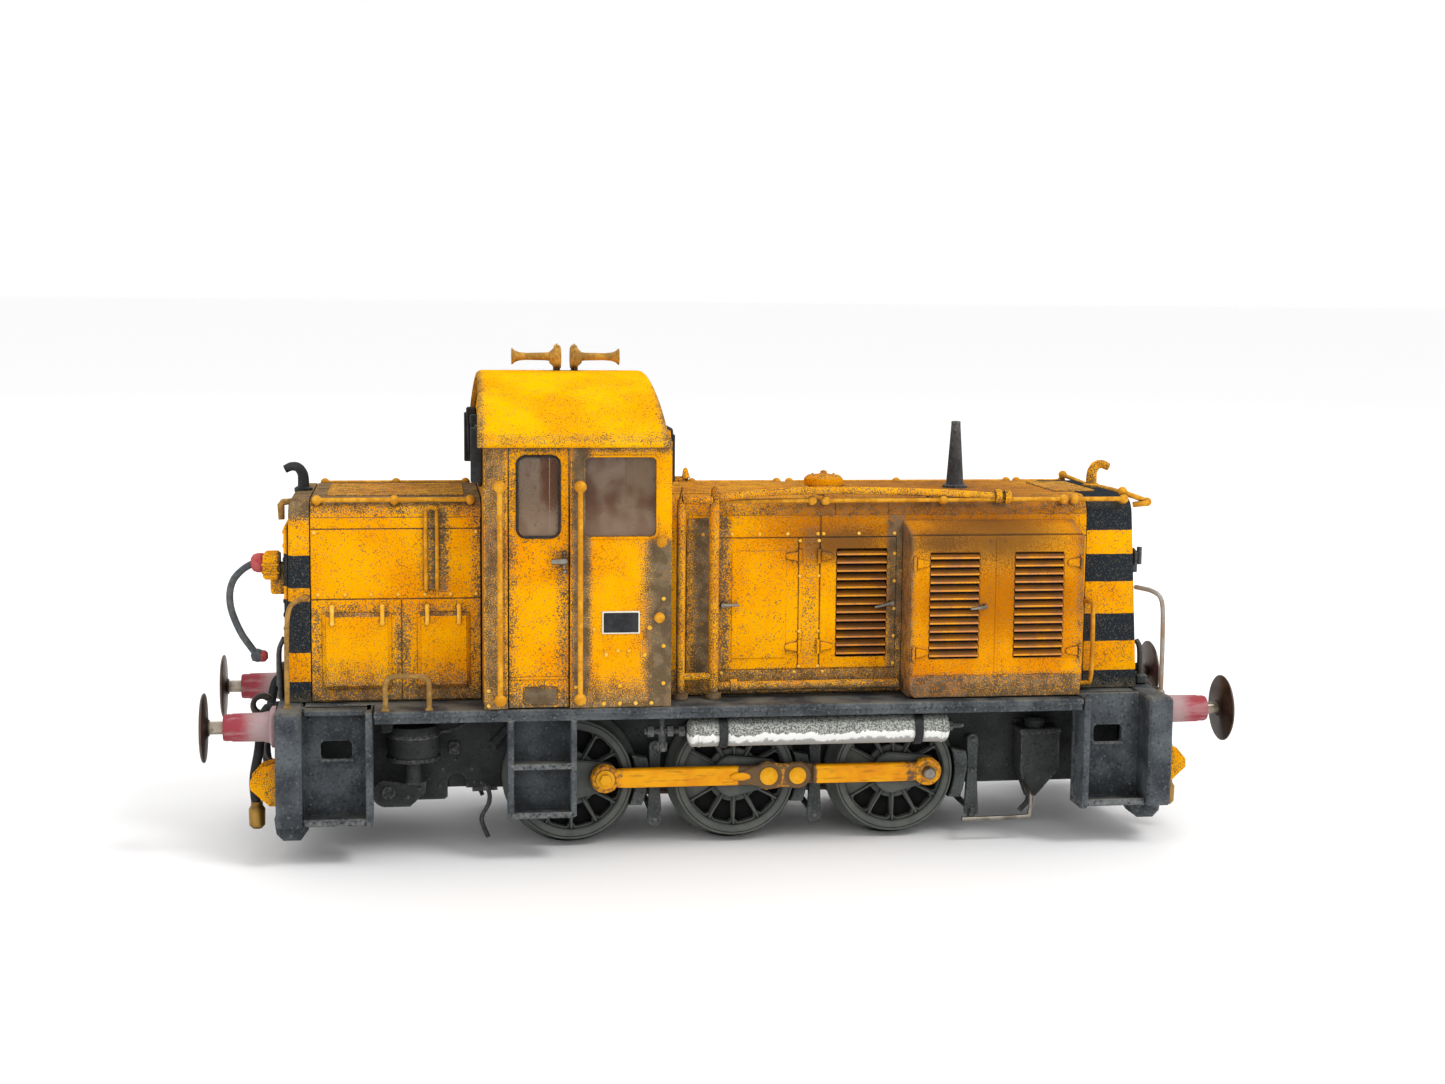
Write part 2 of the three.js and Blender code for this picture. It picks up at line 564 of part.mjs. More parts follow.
// A raised panel on both sides of a bonnet, such as an access door.
const sidePanels = (xs, zs, proud = 0.22) => Object.values(SIDES).map((side) =>
  block(xs, [side * (BONNET_HALF_WIDTH - 0.3), side * (BONNET_HALF_WIDTH + proud)], zs));

function bonnetShell([x0, x1], panels) {
  const outer = prism("x", bonnetOutline(), x0, x1);
  const hollow = prism("x", bonnetOutline(BONNET_WALL).map(([y, z]) => [y, z === 0 ? -1 : z]),
    x0 - 1, x1 + 1);
  return join(cut(outer, hollow), panels);
}

const shortBonnet = () => bonnetShell(SHORT_BONNET, [
  ...sidePanels([-41.5, -34.7], [1.4, 9]), ...sidePanels([-32.1, -26.8], [1.4, 9]),
]);

const longBonnet = () => bonnetShell(LONG_BONNET, [
  ...sidePanels([-0.9, 7.1], [2.7, 16.4]), ...sidePanels([9.5, 17.2], [2.7, 16.4]),
]);

function nose([x0, x1], end) {
  const whole = prism("x", bonnetOutline(), x0, x1);
  const front = end > 0 ? x1 : x0;
  const lean = end > 0 ? NOSE_RAKE : 0.25;
  const corner = 1.2;
  const trim = prism("y", [
    [front, 0], [front - end * lean, BONNET_HEIGHT - corner],
    [front - end * (lean + corner), BONNET_HEIGHT], [front - end * (lean + corner), BONNET_HEIGHT + 3],
    [front + end * 3, BONNET_HEIGHT + 3], [front + end * 3, 0],
  ], -20, 20);
  return cut(whole, trim);
}

function cabOutline(halfWidth, radius, bottom) {
  const centre = ROOF_CREST - ROOF_RADIUS - BODY_Z;
  const reach = Math.asin(halfWidth / radius);
  return [
    [-halfWidth, bottom], [halfWidth, bottom],
    ...arc(0, centre, radius, Math.PI / 2 - reach, Math.PI / 2 + reach, 12),
  ];
}

const CAB_WINDOWS = {
  door: roundedRect([-22.1, -18.15], [33.2 - BODY_Z, 41 - BODY_Z], 0.9, 2),
  side: roundedRect([-15.6, -8.35], [33.1 - BODY_Z, 41.1 - BODY_Z], 0.4, 1),
  ends: [-1, 1].map((s) => roundedRect(sorted(s * 1.6, s * 13), [38.2 - BODY_Z, 43.4 - BODY_Z], 0.8, 1)),
};

// The same outline drawn smaller all round, for the pane that fills it.
function shrunk(outline, by) {
  const us = outline.map(([u]) => u);
  const vs = outline.map(([, v]) => v);
  const middle = (list) => (Math.min(...list) + Math.max(...list)) / 2;
  const [cu, cv] = [middle(us), middle(vs)];
  const scale = (value, centre, list) =>
    centre + (value - centre) * (1 - (2 * by) / (Math.max(...list) - Math.min(...list)));
  return outline.map(([u, v]) => [scale(u, cu, us), scale(v, cv, vs)]);
}

function throughWindows(reachY, [x0, x1], by) {
  const { door, side, ends } = CAB_WINDOWS;
  return [
    prism("y", shrunk(door, by), -reachY, reachY), prism("y", shrunk(side, by), -reachY, reachY),
    ...ends.map((end) => prism("x", shrunk(end, by), x0, x1)),
  ];
}

function cabShell() {
  const inside = [CAB[0] + CAB_WALL, CAB[1] - CAB_WALL];
  const roofInner = ROOF_RADIUS - ROOF_THICK - GAP;
  const outer = prism("x", cabOutline(CAB_HALF_WIDTH, roofInner, 0), ...CAB);
  const hollow = block(inside, [-CAB_HALF_WIDTH + CAB_WALL, CAB_HALF_WIDTH - CAB_WALL], [-1, 40]);
  const recess = Object.values(SIDES).map((side) =>
    block([-23.1, -17.2], [side * 15.75, side * 17], [0.1, 26]));
  return cut(outer, hollow, recess, throughWindows(20, [-30, 0], 0));
}

function cabRoof() {
  const centre = ROOF_CREST - ROOF_RADIUS - BODY_Z;
  const inner = ROOF_RADIUS - ROOF_THICK;
  const lip = CAB_HALF_WIDTH + 0.75;
  const inside = CAB_HALF_WIDTH + GAP;
  const spread = (radius, y) => [Math.PI / 2 - Math.asin(y / radius), Math.PI / 2 + Math.asin(y / radius)];
  const [a0, a1] = spread(ROOF_RADIUS, lip);
  const [b0, b1] = spread(inner, inside);
  const bottom = 42.1 - BODY_Z;
  return prism("x", [
    ...arc(0, centre, ROOF_RADIUS, a0, a1, 16), [-lip, bottom], [-inside, bottom],
    ...arc(0, centre, inner, b1, b0, 16), [inside, bottom], [lip, bottom],
  ], CAB[0] - ROOF_OVERHANG, CAB[1] + 0.2);
}

// One clear moulding that lines the cab and fills every window.
function cabGlazing() {
  const wall = CAB_WALL + GAP;
  const [x0, x1] = [CAB[0] + wall, CAB[1] - wall];
  const half = CAB_HALF_WIDTH - wall;
  const roofInner = ROOF_RADIUS - ROOF_THICK - 2 * GAP;
  const base = 31.5 - BODY_Z;
  const liner = cut(
    prism("x", cabOutline(half, roofInner, base), x0, x1),
    block([x0 + 0.5, x1 - 0.5], [-half + 0.5, half - 0.5], [0, 40]),
  );
  const cavity = [[x0 + 0.3, x1 - 0.3], [-half + 0.3, half - 0.3], [0, 40]];
  const panes = throughWindows(15.7, [CAB[0] + 0.15, CAB[1] - 0.15], 0.04)
    .map((pane) => cut(pane, block(...cavity)));
  return join(liner, panes.flatMap((pane) => pane.decompose()));
}

function cabInterior() {
  const floor = block([-24.6, -7.8], [-14.9, 14.9], [0, 0.8]);
  const desk = block([-11.4, -7.9], [-9, 9], [0.7, 14]);
  const desktop = block([-12.6, -7.9], [-11, 11], [13.9, 15]);
  const seats = Object.values(SIDES).flatMap((side) => [
    rod("z", 0.6, 0.7, 8, 10).translate([-17, side * 11, 0]),
    block([-19, -15], [side * 9, side * 13], [7.9, 9]),
    block([-19.6, -18.8], [side * 9.2, side * 12.8], [7.9, 15]),
  ]);
  return join(floor, desk, desktop, seats);
}

// The louvred air intake that stands out from the long bonnet, with a sloping top.
function intakeBox(side) {
  const inner = BONNET_HALF_WIDTH + GAP;
  const outer = 14.5;
  const outline = [[inner, 0], [outer, 0], [outer, 16.9], [inner, 18.2]].map(([y, z]) => [side * y, z]);
  const box = prism("x", outline, 18.2, 36.6);
  const recesses = [[20.2, 25.4], [29.2, 34.4]].map((xs) =>
    block(xs, [side * (outer - 0.35), side * (outer + 1)], [4.1, 15.2]));
  return cut(box, recesses);
}

const exhaustStack = () => turned("z", [
  [0, 0], [1.3, 0], [1.3, 0.4], [0.98, 0.6], [0.5, 7.1], [0.3, 7.1], [0.3, 6], [0, 6],
], ROUND);

function fillerCap() {
  return turned("z", [[0, 0], [1.5, 0], [1.5, 0.5], [2.05, 0.6], [2.05, 1.3], [1.7, 1.6], [0.3, 1.7],
    [0.3, 2.1], [0, 2.1]], 14);
}

// A horn on its round sound box, its trumpet pointing along the end's direction.
function horn(end) {
  const x = (v) => end * v;
  const box = turned("x", [[0, 0], [1.3, 0], [1.3, 0.7], [1, 1.15], [0, 1.15]]
    .map(([r, h]) => [r, x(h)])).translate([0, 0, 1.35]);
  const trumpet = turned("x", [[0, 1], [0.42, 1], [0.4, 4.3], [0.8, 5.1], [0, 4.9]]
    .map(([r, h]) => [r, x(h)]), 10).translate([0, 0, 1.5]);
  const foot = block([x(0.1), x(1)], [-0.5, 0.5], [0, 1.2]);
  return join(box, trumpet, foot);
}

// A short pipe that rises from the bonnet top and bends over towards the end of the model.
function swanNeck(end) {
  return join(
    rod("z", 0.75, 0, 0.5, 10),
    pipe([[0, 0, 0.1], [0, 0, 1], [end * 0.12, 0, 1.7], [end * 0.7, 0, 2.25], [end * 1.7, 0, 2.1]], 0.5),
  );
}

// Two uprights joined at the top and the pipe along the foot of the bonnet. Only the near side
// has the long pipe over the bonnet's shoulder.
function pipework(side) {
  const outer = side * 12.2;
  const inner = side * 12;
  const foot = side * 11.55;
  const pieces = [
    pipe([[-5.4, outer, 0.1], [-5.4, outer, 10], [-5.4, outer, 20.2]], 0.42, { steps: 2 }),
    pipe([[-5.4, outer, 20], [-3.7, side * 12.1, 20.3], [-2, inner, 20.2]], 0.42, { steps: 3 }),
    pipe([[-2, inner, 0.1], [-2, inner, 10], [-2, inner, 20.3]], 0.5, { steps: 2 }),
    pipe([[-2, inner, 1], [3, foot, 1], [17.5, foot, 1]], 0.5, { steps: 4 }),
  ];
  if (side === SIDES.near) {
    pieces.push(pipe([
      [-2, inner, 20.1], [3, side * 11.4, 20.7], [9, side * 10.9, 21.15], [20, side * 10.7, 21],
      [29.4, side * 10.7, 20.7],
    ], 0.4, { steps: 10 }));
  }
  return join(pieces);
}

// ---- assembly -----------------------------------------------------------------------------
add("footplate", footplate(), SLATE);
add("chassis_block", chassisBlock(), BLACK);
add("keeper_plate", keeperPlate(), BLACK);
add("pickup_plate", pickupPlate(), COPPER);
add("brake_rigging", brakeRigging(), BLACK);

for (const [name, end] of Object.entries(ENDS)) {
  add(`buffer_beam_${name}`, bufferBeam(end), SLATE);
  add(`draw_hook_${name}`, drawHook(end), BLACK);
  for (const [sideName, side] of Object.entries(SIDES)) {
    const buffer = group(model, 0, side * BUFFER_Y, BUFFER_Z);
    add(`buffer_stock_${name}_${sideName}`, bufferStock(end), FADED_RED, buffer);
    add(`buffer_head_${name}_${sideName}`, bufferHead(end), BRONZE, buffer);
  }
}
add("jumper_box", jumperBox(), YELLOW);
add("jumper_hose", jumperHose(), BLACK);

for (const [name, side] of Object.entries(SIDES)) {
  add(`air_tank_${name}`, airTank(side), SILVER);
  add(`cab_steps_${name}`, cabSteps(side), SLATE);
}

// The far cranks are a quarter turn ahead of the near ones.
const CRANKS = { near: CRANK_REST, far: CRANK_REST + Math.PI / 2 };
["front", "middle", "rear"].forEach((name, i) => {
  const wheelset = group(model, AXLE_X[i], 0, AXLE_Z);
  add(`axle_${name}`, axle(), STEEL, wheelset);
  for (const [sideName, side] of Object.entries(SIDES)) {
    add(`wheel_${name}_${sideName}`, wheel(side, CRANKS[sideName]), WHEEL_GREY, wheelset);
  }
  if (name === "middle") add("worm_wheel", wormWheel(), NYLON, wheelset);
});
for (const [name, side] of Object.entries(SIDES)) {
  const [along, up] = [Math.cos(CRANKS[name]), Math.sin(CRANKS[name])].map((v) => CRANK_THROW * v);
  const rods = group(model, MIDDLE_AXLE_X + along, 0, AXLE_Z + up);
  add(`coupling_rod_front_${name}`, rodWithKnuckle(side), YELLOW, rods);
  add(`coupling_rod_rear_${name}`, rodWithTongue(side), YELLOW, rods);
}

const drive = group(model, 0, 0, SHAFT_Z);
add("motor_shaft", rod("x", SHAFT_RADIUS, -4.9, FLYWHEEL.x[1] + 0.8), STEEL, drive);
add("flywheel", cut(rod("x", FLYWHEEL.radius, ...FLYWHEEL.x, 24), rod("x", SHAFT_RADIUS + 0.02, 20, 32)),
  BRASS, drive);
add("worm", worm(), BRASS, group(drive, MIDDLE_AXLE_X, 0, 0));
add("motor_case", motorCase(), STEEL);
add("circuit_board", circuitBoard(), GREEN);

const body = group(model, 0, 0, BODY_Z);
add("short_bonnet", shortBonnet(), YELLOW, body);
add("long_bonnet", longBonnet(), YELLOW, body);
add("nose_short_end", nose(NOSE_SHORT, -1), YELLOW, body);
add("nose_long_end", nose(NOSE_LONG, 1), YELLOW, body);
add("cab_shell", cabShell(), YELLOW, body);
add("cab_roof", cabRoof(), YELLOW, body);
add("cab_glazing", cabGlazing(), CLEAR, body);
add("cab_interior", cabInterior(), BLACK, body);
for (const [name, side] of Object.entries(SIDES)) {
  add(`intake_box_${name}`, intakeBox(side), YELLOW, body);
  add(`pipework_${name}`, pipework(side), YELLOW, body);
}
const bonnetTop = group(body, 0, 0, BONNET_HEIGHT + GAP);
add("exhaust_stack", exhaustStack(), BLACK, group(bonnetTop, 26.35, 0, 0));
add("filler_cap", fillerCap(), YELLOW, group(bonnetTop, 10.9, -4, 0));
add("swan_neck_short_end", swanNeck(-1), BLACK, group(bonnetTop, -43.7, 0, 0));
add("swan_neck_long_end", swanNeck(1), YELLOW, group(bonnetTop, 41.8, 0, 0));
for (const [name, end] of Object.entries(ENDS)) {
  add(`horn_${name}`, horn(end), BRASS, group(model, -16.35 + end * 0.45, 0, ROOF_CREST + GAP));
}

export default model;
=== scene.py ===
"""The looks of the model shunting locomotive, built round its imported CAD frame.

Shapes are drawn in millimetres in the frame's own axes (+X to the long bonnet, -Y the near side,
+Z up) and turned into metres when a piece is made.
"""
import math
from itertools import product

import bmesh
import bpy
from mathutils import Matrix, Vector
from mathutils.geometry import tessellate_polygon


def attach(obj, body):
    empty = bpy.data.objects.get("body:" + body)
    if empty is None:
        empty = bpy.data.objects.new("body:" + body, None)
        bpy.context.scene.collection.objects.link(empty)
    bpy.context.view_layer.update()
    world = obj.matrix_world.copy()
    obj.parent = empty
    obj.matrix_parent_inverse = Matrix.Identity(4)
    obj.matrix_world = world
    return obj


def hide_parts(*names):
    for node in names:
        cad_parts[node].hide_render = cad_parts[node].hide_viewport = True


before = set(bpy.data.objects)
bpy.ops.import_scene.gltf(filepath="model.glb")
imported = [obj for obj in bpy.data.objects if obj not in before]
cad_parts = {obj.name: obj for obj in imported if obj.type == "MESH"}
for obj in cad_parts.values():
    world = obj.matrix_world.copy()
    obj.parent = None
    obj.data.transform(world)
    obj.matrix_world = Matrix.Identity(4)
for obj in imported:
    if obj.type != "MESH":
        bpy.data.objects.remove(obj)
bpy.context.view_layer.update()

MM = 0.001
TAU = 2 * math.pi


# ---- camera --------------------------------------------------------------------------------------
CAMERA_PLACE = (-32.08, -222.68, 56.77)
CAMERA_LENS = 52.13
CAMERA_PAN, CAMERA_DIP, CAMERA_ROLL = -8.365, 6.629, 0.511  # degrees


def add_camera():
    """A short telephoto view of the near side, a little above the deck and from the cab's end."""
    data = bpy.data.cameras.new("camera")
    data.sensor_width = 36
    data.lens = CAMERA_LENS
    data.clip_start = 0.01
    data.clip_end = 100
    camera = bpy.data.objects.new("camera", data)
    bpy.context.scene.collection.objects.link(camera)
    turn = (
        Matrix.Rotation(math.radians(CAMERA_PAN), 4, "Z")
        @ Matrix.Rotation(math.radians(90 - CAMERA_DIP), 4, "X")
        @ Matrix.Rotation(math.radians(CAMERA_ROLL), 4, "Z")
    )
    camera.matrix_world = Matrix.Translation(Vector(CAMERA_PLACE) * MM) @ turn
    bpy.context.scene.camera = camera


add_camera()

# ---- sizes shared with the CAD, in mm ------------------------------------------------------------
CHASSIS = "chassis"
DECK = 15.75
AXLE_Z = 7.1
AXLES = {"front": -16.41, "middle": 0.67, "rear": 17.75}
THROW = 3.4
CRANK = {"near": math.radians(4), "far": math.radians(94)}
WHEELBASE = 17.08
KNUCKLE = 3.05
ROD_IN, ROD_OUT = 10.42, 11.32
BUFFER_Y, BUFFER_Z = 11.4, 13.6
FRAME_END = 43.4
SIDE = 10.3  # |y| of the bonnets' skin
TOP = 36.45  # of the bonnets
SHOULDER = 1.9
BONNET_FOOT = 15.85
BRAKE_X = (-7.6, 9.45, 26.6)  # of the brake hangers
HANGER_AHEAD = 8.85  # how far a hanger is from its wheel's middle
CAB_X = (-25.55, -6.8)
CAB_Y = 16
ROOF_RADIUS = 24.2
ROOF_CENTRE = 49.1 - ROOF_RADIUS


# ---- shapes: (vertices, faces) -------------------------------------------------------------------
def arc(cu, cv, radius, start, end, steps):
    """Points on an arc, its angles in degrees."""
    angles = [math.radians(start + (end - start) * i / steps) for i in range(steps + 1)]
    return [(cu + radius * math.cos(a), cv + radius * math.sin(a)) for a in angles]


def ring(cu, cv, radius, steps=32):
    """A full circle."""
    return arc(cu, cv, radius, 0, 360, steps)[:-1]


def rounded(us, vs, radius, steps=4):
    """A rectangle with round corners."""
    (u0, u1), (v0, v1), r = us, vs, radius
    return (
        arc(u1 - r, v0 + r, r, -90, 0, steps) + arc(u1 - r, v1 - r, r, 0, 90, steps)
        + arc(u0 + r, v1 - r, r, 90, 180, steps) + arc(u0 + r, v0 + r, r, 180, 270, steps)
    )


def frange(start, stop, step):
    """Evenly spaced numbers from start up to stop."""
    return [start + step * i for i in range(int((stop - start) / step + 1e-6) + 1)]


def inset(loop, amount):
    """The loop moved to its left by the amount, with mitred corners."""
    result = []
    for i, point in enumerate(loop):
        here, before, after = Vector(point), Vector(loop[i - 1]), Vector(loop[(i + 1) % len(loop)])
        a, b = (here - before).normalized(), (after - here).normalized()
        normal = Vector((-a.y - b.y, a.x + b.x))
        if normal.length < 1e-6:
            normal = Vector((-a.y, a.x))
        normal.normalize()
        reach = amount / max(0.5, normal.dot(Vector((-a.y, a.x))))
        result.append(tuple(here + normal * reach))
    return result


def turned_left(loop):
    """The loop with its inside on the left."""
    area = sum(p[0] * q[1] - q[0] * p[1] for p, q in zip(loop, loop[1:] + loop[:1]))
    return list(loop) if area > 0 else list(reversed(loop))


PLANES = {"x": (2, 0, 1), "y": (0, 2, 1), "z": (0, 1, 2)}  # which of u, v, depth is x, y, z


def placed(axis, u, v, depth):
    """The point whose depth is along the axis."""
    return tuple((u, v, depth)[i] for i in PLANES[axis])


def slab(axis, outline, low, high, holes=(), edge=0.08):
    """An outline pushed along an axis, with chamfered edges. u, v are (y, z), (x, z) or (x, y)."""
    low, high = min(low, high), max(low, high)
    edge = min(edge, (high - low) / 2.2)
    loops = [turned_left(outline)] + [list(reversed(turned_left(hole))) for hole in holes]
    verts, faces = [], []
    cap = [inset(loop, edge) for loop in loops]
    for loop, small in zip(loops, cap):
        count, base = len(loop), len(verts)
        levels = [(small, low), (loop, low + edge), (loop, high - edge), (small, high)]
        for points, depth in levels:
            verts += [placed(axis, u, v, depth) for u, v in points]
        for level in range(3):
            for i in range(count):
                a, b = base + level * count + i, base + level * count + (i + 1) % count
                faces.append((a, b, b + count, a + count))
    index, base = [], 0
    for loop in loops:
        index += [base + i for i in range(len(loop))]
        base += 4 * len(loop)
    tops = [3 * len(loop) for loop in loops for _ in loop]
    flat = tessellate_polygon([[Vector((u, v, 0)) for u, v in small] for small in cap])
    for a, b, c in flat:
        faces.append((index[a], index[b], index[c]))
        faces.append((index[a] + tops[a], index[b] + tops[b], index[c] + tops[c]))
    return verts, faces


def plate(axis, us, vs, corner, low, high, edge=0.08, holes=(), steps=4):
    """A slab with round corners."""
    return slab(axis, rounded(us, vs, corner, steps), low, high, holes, edge)


def box(xs, ys, zs, edge=0.08):
    """A block with its upright edges and rims chamfered."""
    (x0, x1), (y0, y1) = sorted(xs), sorted(ys)
    e = min(edge, (x1 - x0) / 3, (y1 - y0) / 3)
    outline = [(x0 + e, y0), (x1 - e, y0), (x1, y0 + e), (x1, y1 - e), (x1 - e, y1), (x0 + e, y1),
               (x0, y1 - e), (x0, y0 + e)]
    return slab("z", outline, *zs, edge=edge)


def turned(axis, profile, at=(0, 0, 0), sides=24):
    """A profile of (radius, place along the axis) turned round that axis. It starts and ends at
    radius 0, or closes on itself."""
    verts, faces, rings = [], [], []
    for radius, depth in profile:
        count = 1 if radius < 1e-6 else sides
        rings.append([len(verts) + i % count for i in range(sides)])
        for i in range(count):
            u, v = radius * math.cos(TAU * i / sides), radius * math.sin(TAU * i / sides)
            point = placed(axis, u, v, depth)
            verts.append(tuple(p + q for p, q in zip(point, at)))
    for low, high in zip(rings, rings[1:]):
        for i in range(sides):
            j = (i + 1) % sides
            face = list(dict.fromkeys([low[i], low[j], high[j], high[i]]))
            if len(face) > 2:
                faces.append(face)
    return verts, faces


def drum(axis, radius, start, end, at=(0, 0, 0), sides=24):
    """A plain cylinder."""
    return turned(axis, [(0, start), (radius, start), (radius, end), (0, end)], at, sides)


def smooth_path(points, steps):
    """A Catmull-Rom curve through the points."""
    if steps < 2:
        return [Vector(p) for p in points]
    p = [Vector(q) for q in points]
    p = [2 * p[0] - p[1]] + p + [2 * p[-1] - p[-2]]
    path = []
    for a, b, c, d in zip(p, p[1:], p[2:], p[3:]):
        for i in range(steps):
            t = i / steps
            path.append(0.5 * (2 * b + (c - a) * t + (2 * a - 5 * b + 4 * c - d) * t * t
                               + (3 * b - a - 3 * c + d) * t ** 3))
    return path + [p[-2]]


def tube(points, radius, sides=10, steps=5):
    """A round bar along a curve. The radius is one number, or one for each end."""
    path = smooth_path(points, steps)
    first, last = radius if isinstance(radius, tuple) else (radius, radius)
    tangents = [(b - a).normalized() for a, b in zip(path, path[1:])]
    between = [(a + b).normalized() for a, b in zip(tangents, tangents[1:])]
    tangents = [tangents[0]] + between + [tangents[-1]]
    side = tangents[0].orthogonal().normalized()
    verts, faces = [], []
    for k, (point, tangent) in enumerate(zip(path, tangents)):
        side = (side - tangent * side.dot(tangent)).normalized()
        up = tangent.cross(side)
        here = first + (last - first) * k / (len(path) - 1)
        for i in range(sides):
            a = TAU * i / sides
            verts.append(tuple(point + (side * math.cos(a) + up * math.sin(a)) * here))
    for k in range(len(path) - 1):
        for i in range(sides):
            a, b = k * sides + i, k * sides + (i + 1) % sides
            faces.append((a, b, b + sides, a + sides))
    faces.append(tuple(range(sides)))
    faces.append(tuple(range(len(verts) - sides, len(verts))))
    return verts, faces


def bar(start, end, radius, sides=10):
    """A straight round bar."""
    return tube([start, end], radius, sides, 1)


def loft(rings):
    """Rings of the same number of points joined in order, with an n-gon at each end."""
    count = len(rings[0])
    verts = [tuple(p) for points in rings for p in points]
    faces = []
    for k in range(len(rings) - 1):
        for i in range(count):
            a, b = k * count + i, k * count + (i + 1) % count
            faces.append((a, b, b + count, a + count))
    faces += [tuple(range(count)), tuple(range(len(verts) - count, len(verts)))]
    return verts, faces


def ball(at, radius, sides=14):
    """A small sphere."""
    profile = [(radius * math.sin(math.pi * i / 8), -radius * math.cos(math.pi * i / 8))
               for i in range(9)]
    profile[0], profile[-1] = (0, -radius), (0, radius)
    return turned("z", profile, at, sides)


def rivet(at, axis, out, radius=0.2):
    """A round-headed rivet on a face whose outward direction is out along the axis."""
    rise = [(radius * math.cos(math.radians(a)), out * 0.75 * radius * math.sin(math.radians(a)))
            for a in (0, 35, 65)]
    profile = [(0, -out * 0.05), (radius, -out * 0.05)] + rise + [(0, out * 0.75 * radius)]
    return turned(axis, profile, at, 10)


def rivets(places, y, radius):
    """Rivets on the near side's plane y, at places (x, z)."""
    return [rivet((x, y, z), "y", -1, radius) for x, z in places]


def moved(shape, by):
    """The shape shifted by a vector."""
    verts, faces = shape
    return [tuple(a + b for a, b in zip(v, by)) for v in verts], faces


def spun(shape, degrees, centre, axis="Y"):
    """The shape turned round an axis through a point."""
    turn = Matrix.Rotation(math.radians(degrees), 3, axis)
    middle = Vector(centre)
    verts, faces = shape
    return [tuple(turn @ (Vector(v) - middle) + middle) for v in verts], faces


def flipped(shapes, axis=1):
    """The mirror images of the shapes, across Y (axis 1) or X (axis 0)."""
    signs = [-1 if i == axis else 1 for i in range(3)]
    return [([tuple(s * c for s, c in zip(signs, v)) for v in verts], faces) for verts, faces in shapes]


# ---- pieces --------------------------------------------------------------------------------------
def piece(name, shapes, look, body=CHASSIS, replaces=(), sharp=38):
    """One object made of the shapes, in one look, that rides on a body."""
    verts, faces = [], []
    for some, more in shapes:
        base = len(verts)
        verts += [tuple(c * MM for c in v) for v in some]
        faces += [tuple(i + base for i in face) for face in more]
    mesh = bpy.data.meshes.new(name)
    mesh.from_pydata(verts, [], faces)
    work = bmesh.new()
    work.from_mesh(mesh)
    bmesh.ops.recalc_face_normals(work, faces=work.faces)
    work.to_mesh(mesh)
    work.free()
    mesh.polygons.foreach_set("use_smooth", [True] * len(mesh.polygons))
    mesh.set_sharp_from_angle(angle=math.radians(sharp))
    mesh.materials.append(LOOKS[look][0])
    made = bpy.data.objects.new(name, mesh)
    bpy.context.scene.collection.objects.link(made)
    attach(made, body)
    if replaces:
        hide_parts(*replaces)
    return made


def pair(name, shapes, look, body=CHASSIS, replaces=(), sharp=38):
    """The same piece on the near side, as drawn, and mirrored on the far side."""
    for side, some in (("near", shapes), ("far", flipped(shapes))):
        nodes = [node.format(side=side) for node in replaces]
        piece(f"{name}_{side}", some, look, body.format(side=side), nodes, sharp)


def at_both_ends(make, name, shapes, look, nodes=()):
    """Made by piece or pair, as drawn, for the long end and mirrored for the short end."""
    for end, some in (("long", shapes), ("short", flipped(shapes, 0))):
        make(f"{name}_{end}", some, look, replaces=[f"{node}_{end}_end" for node in nodes])


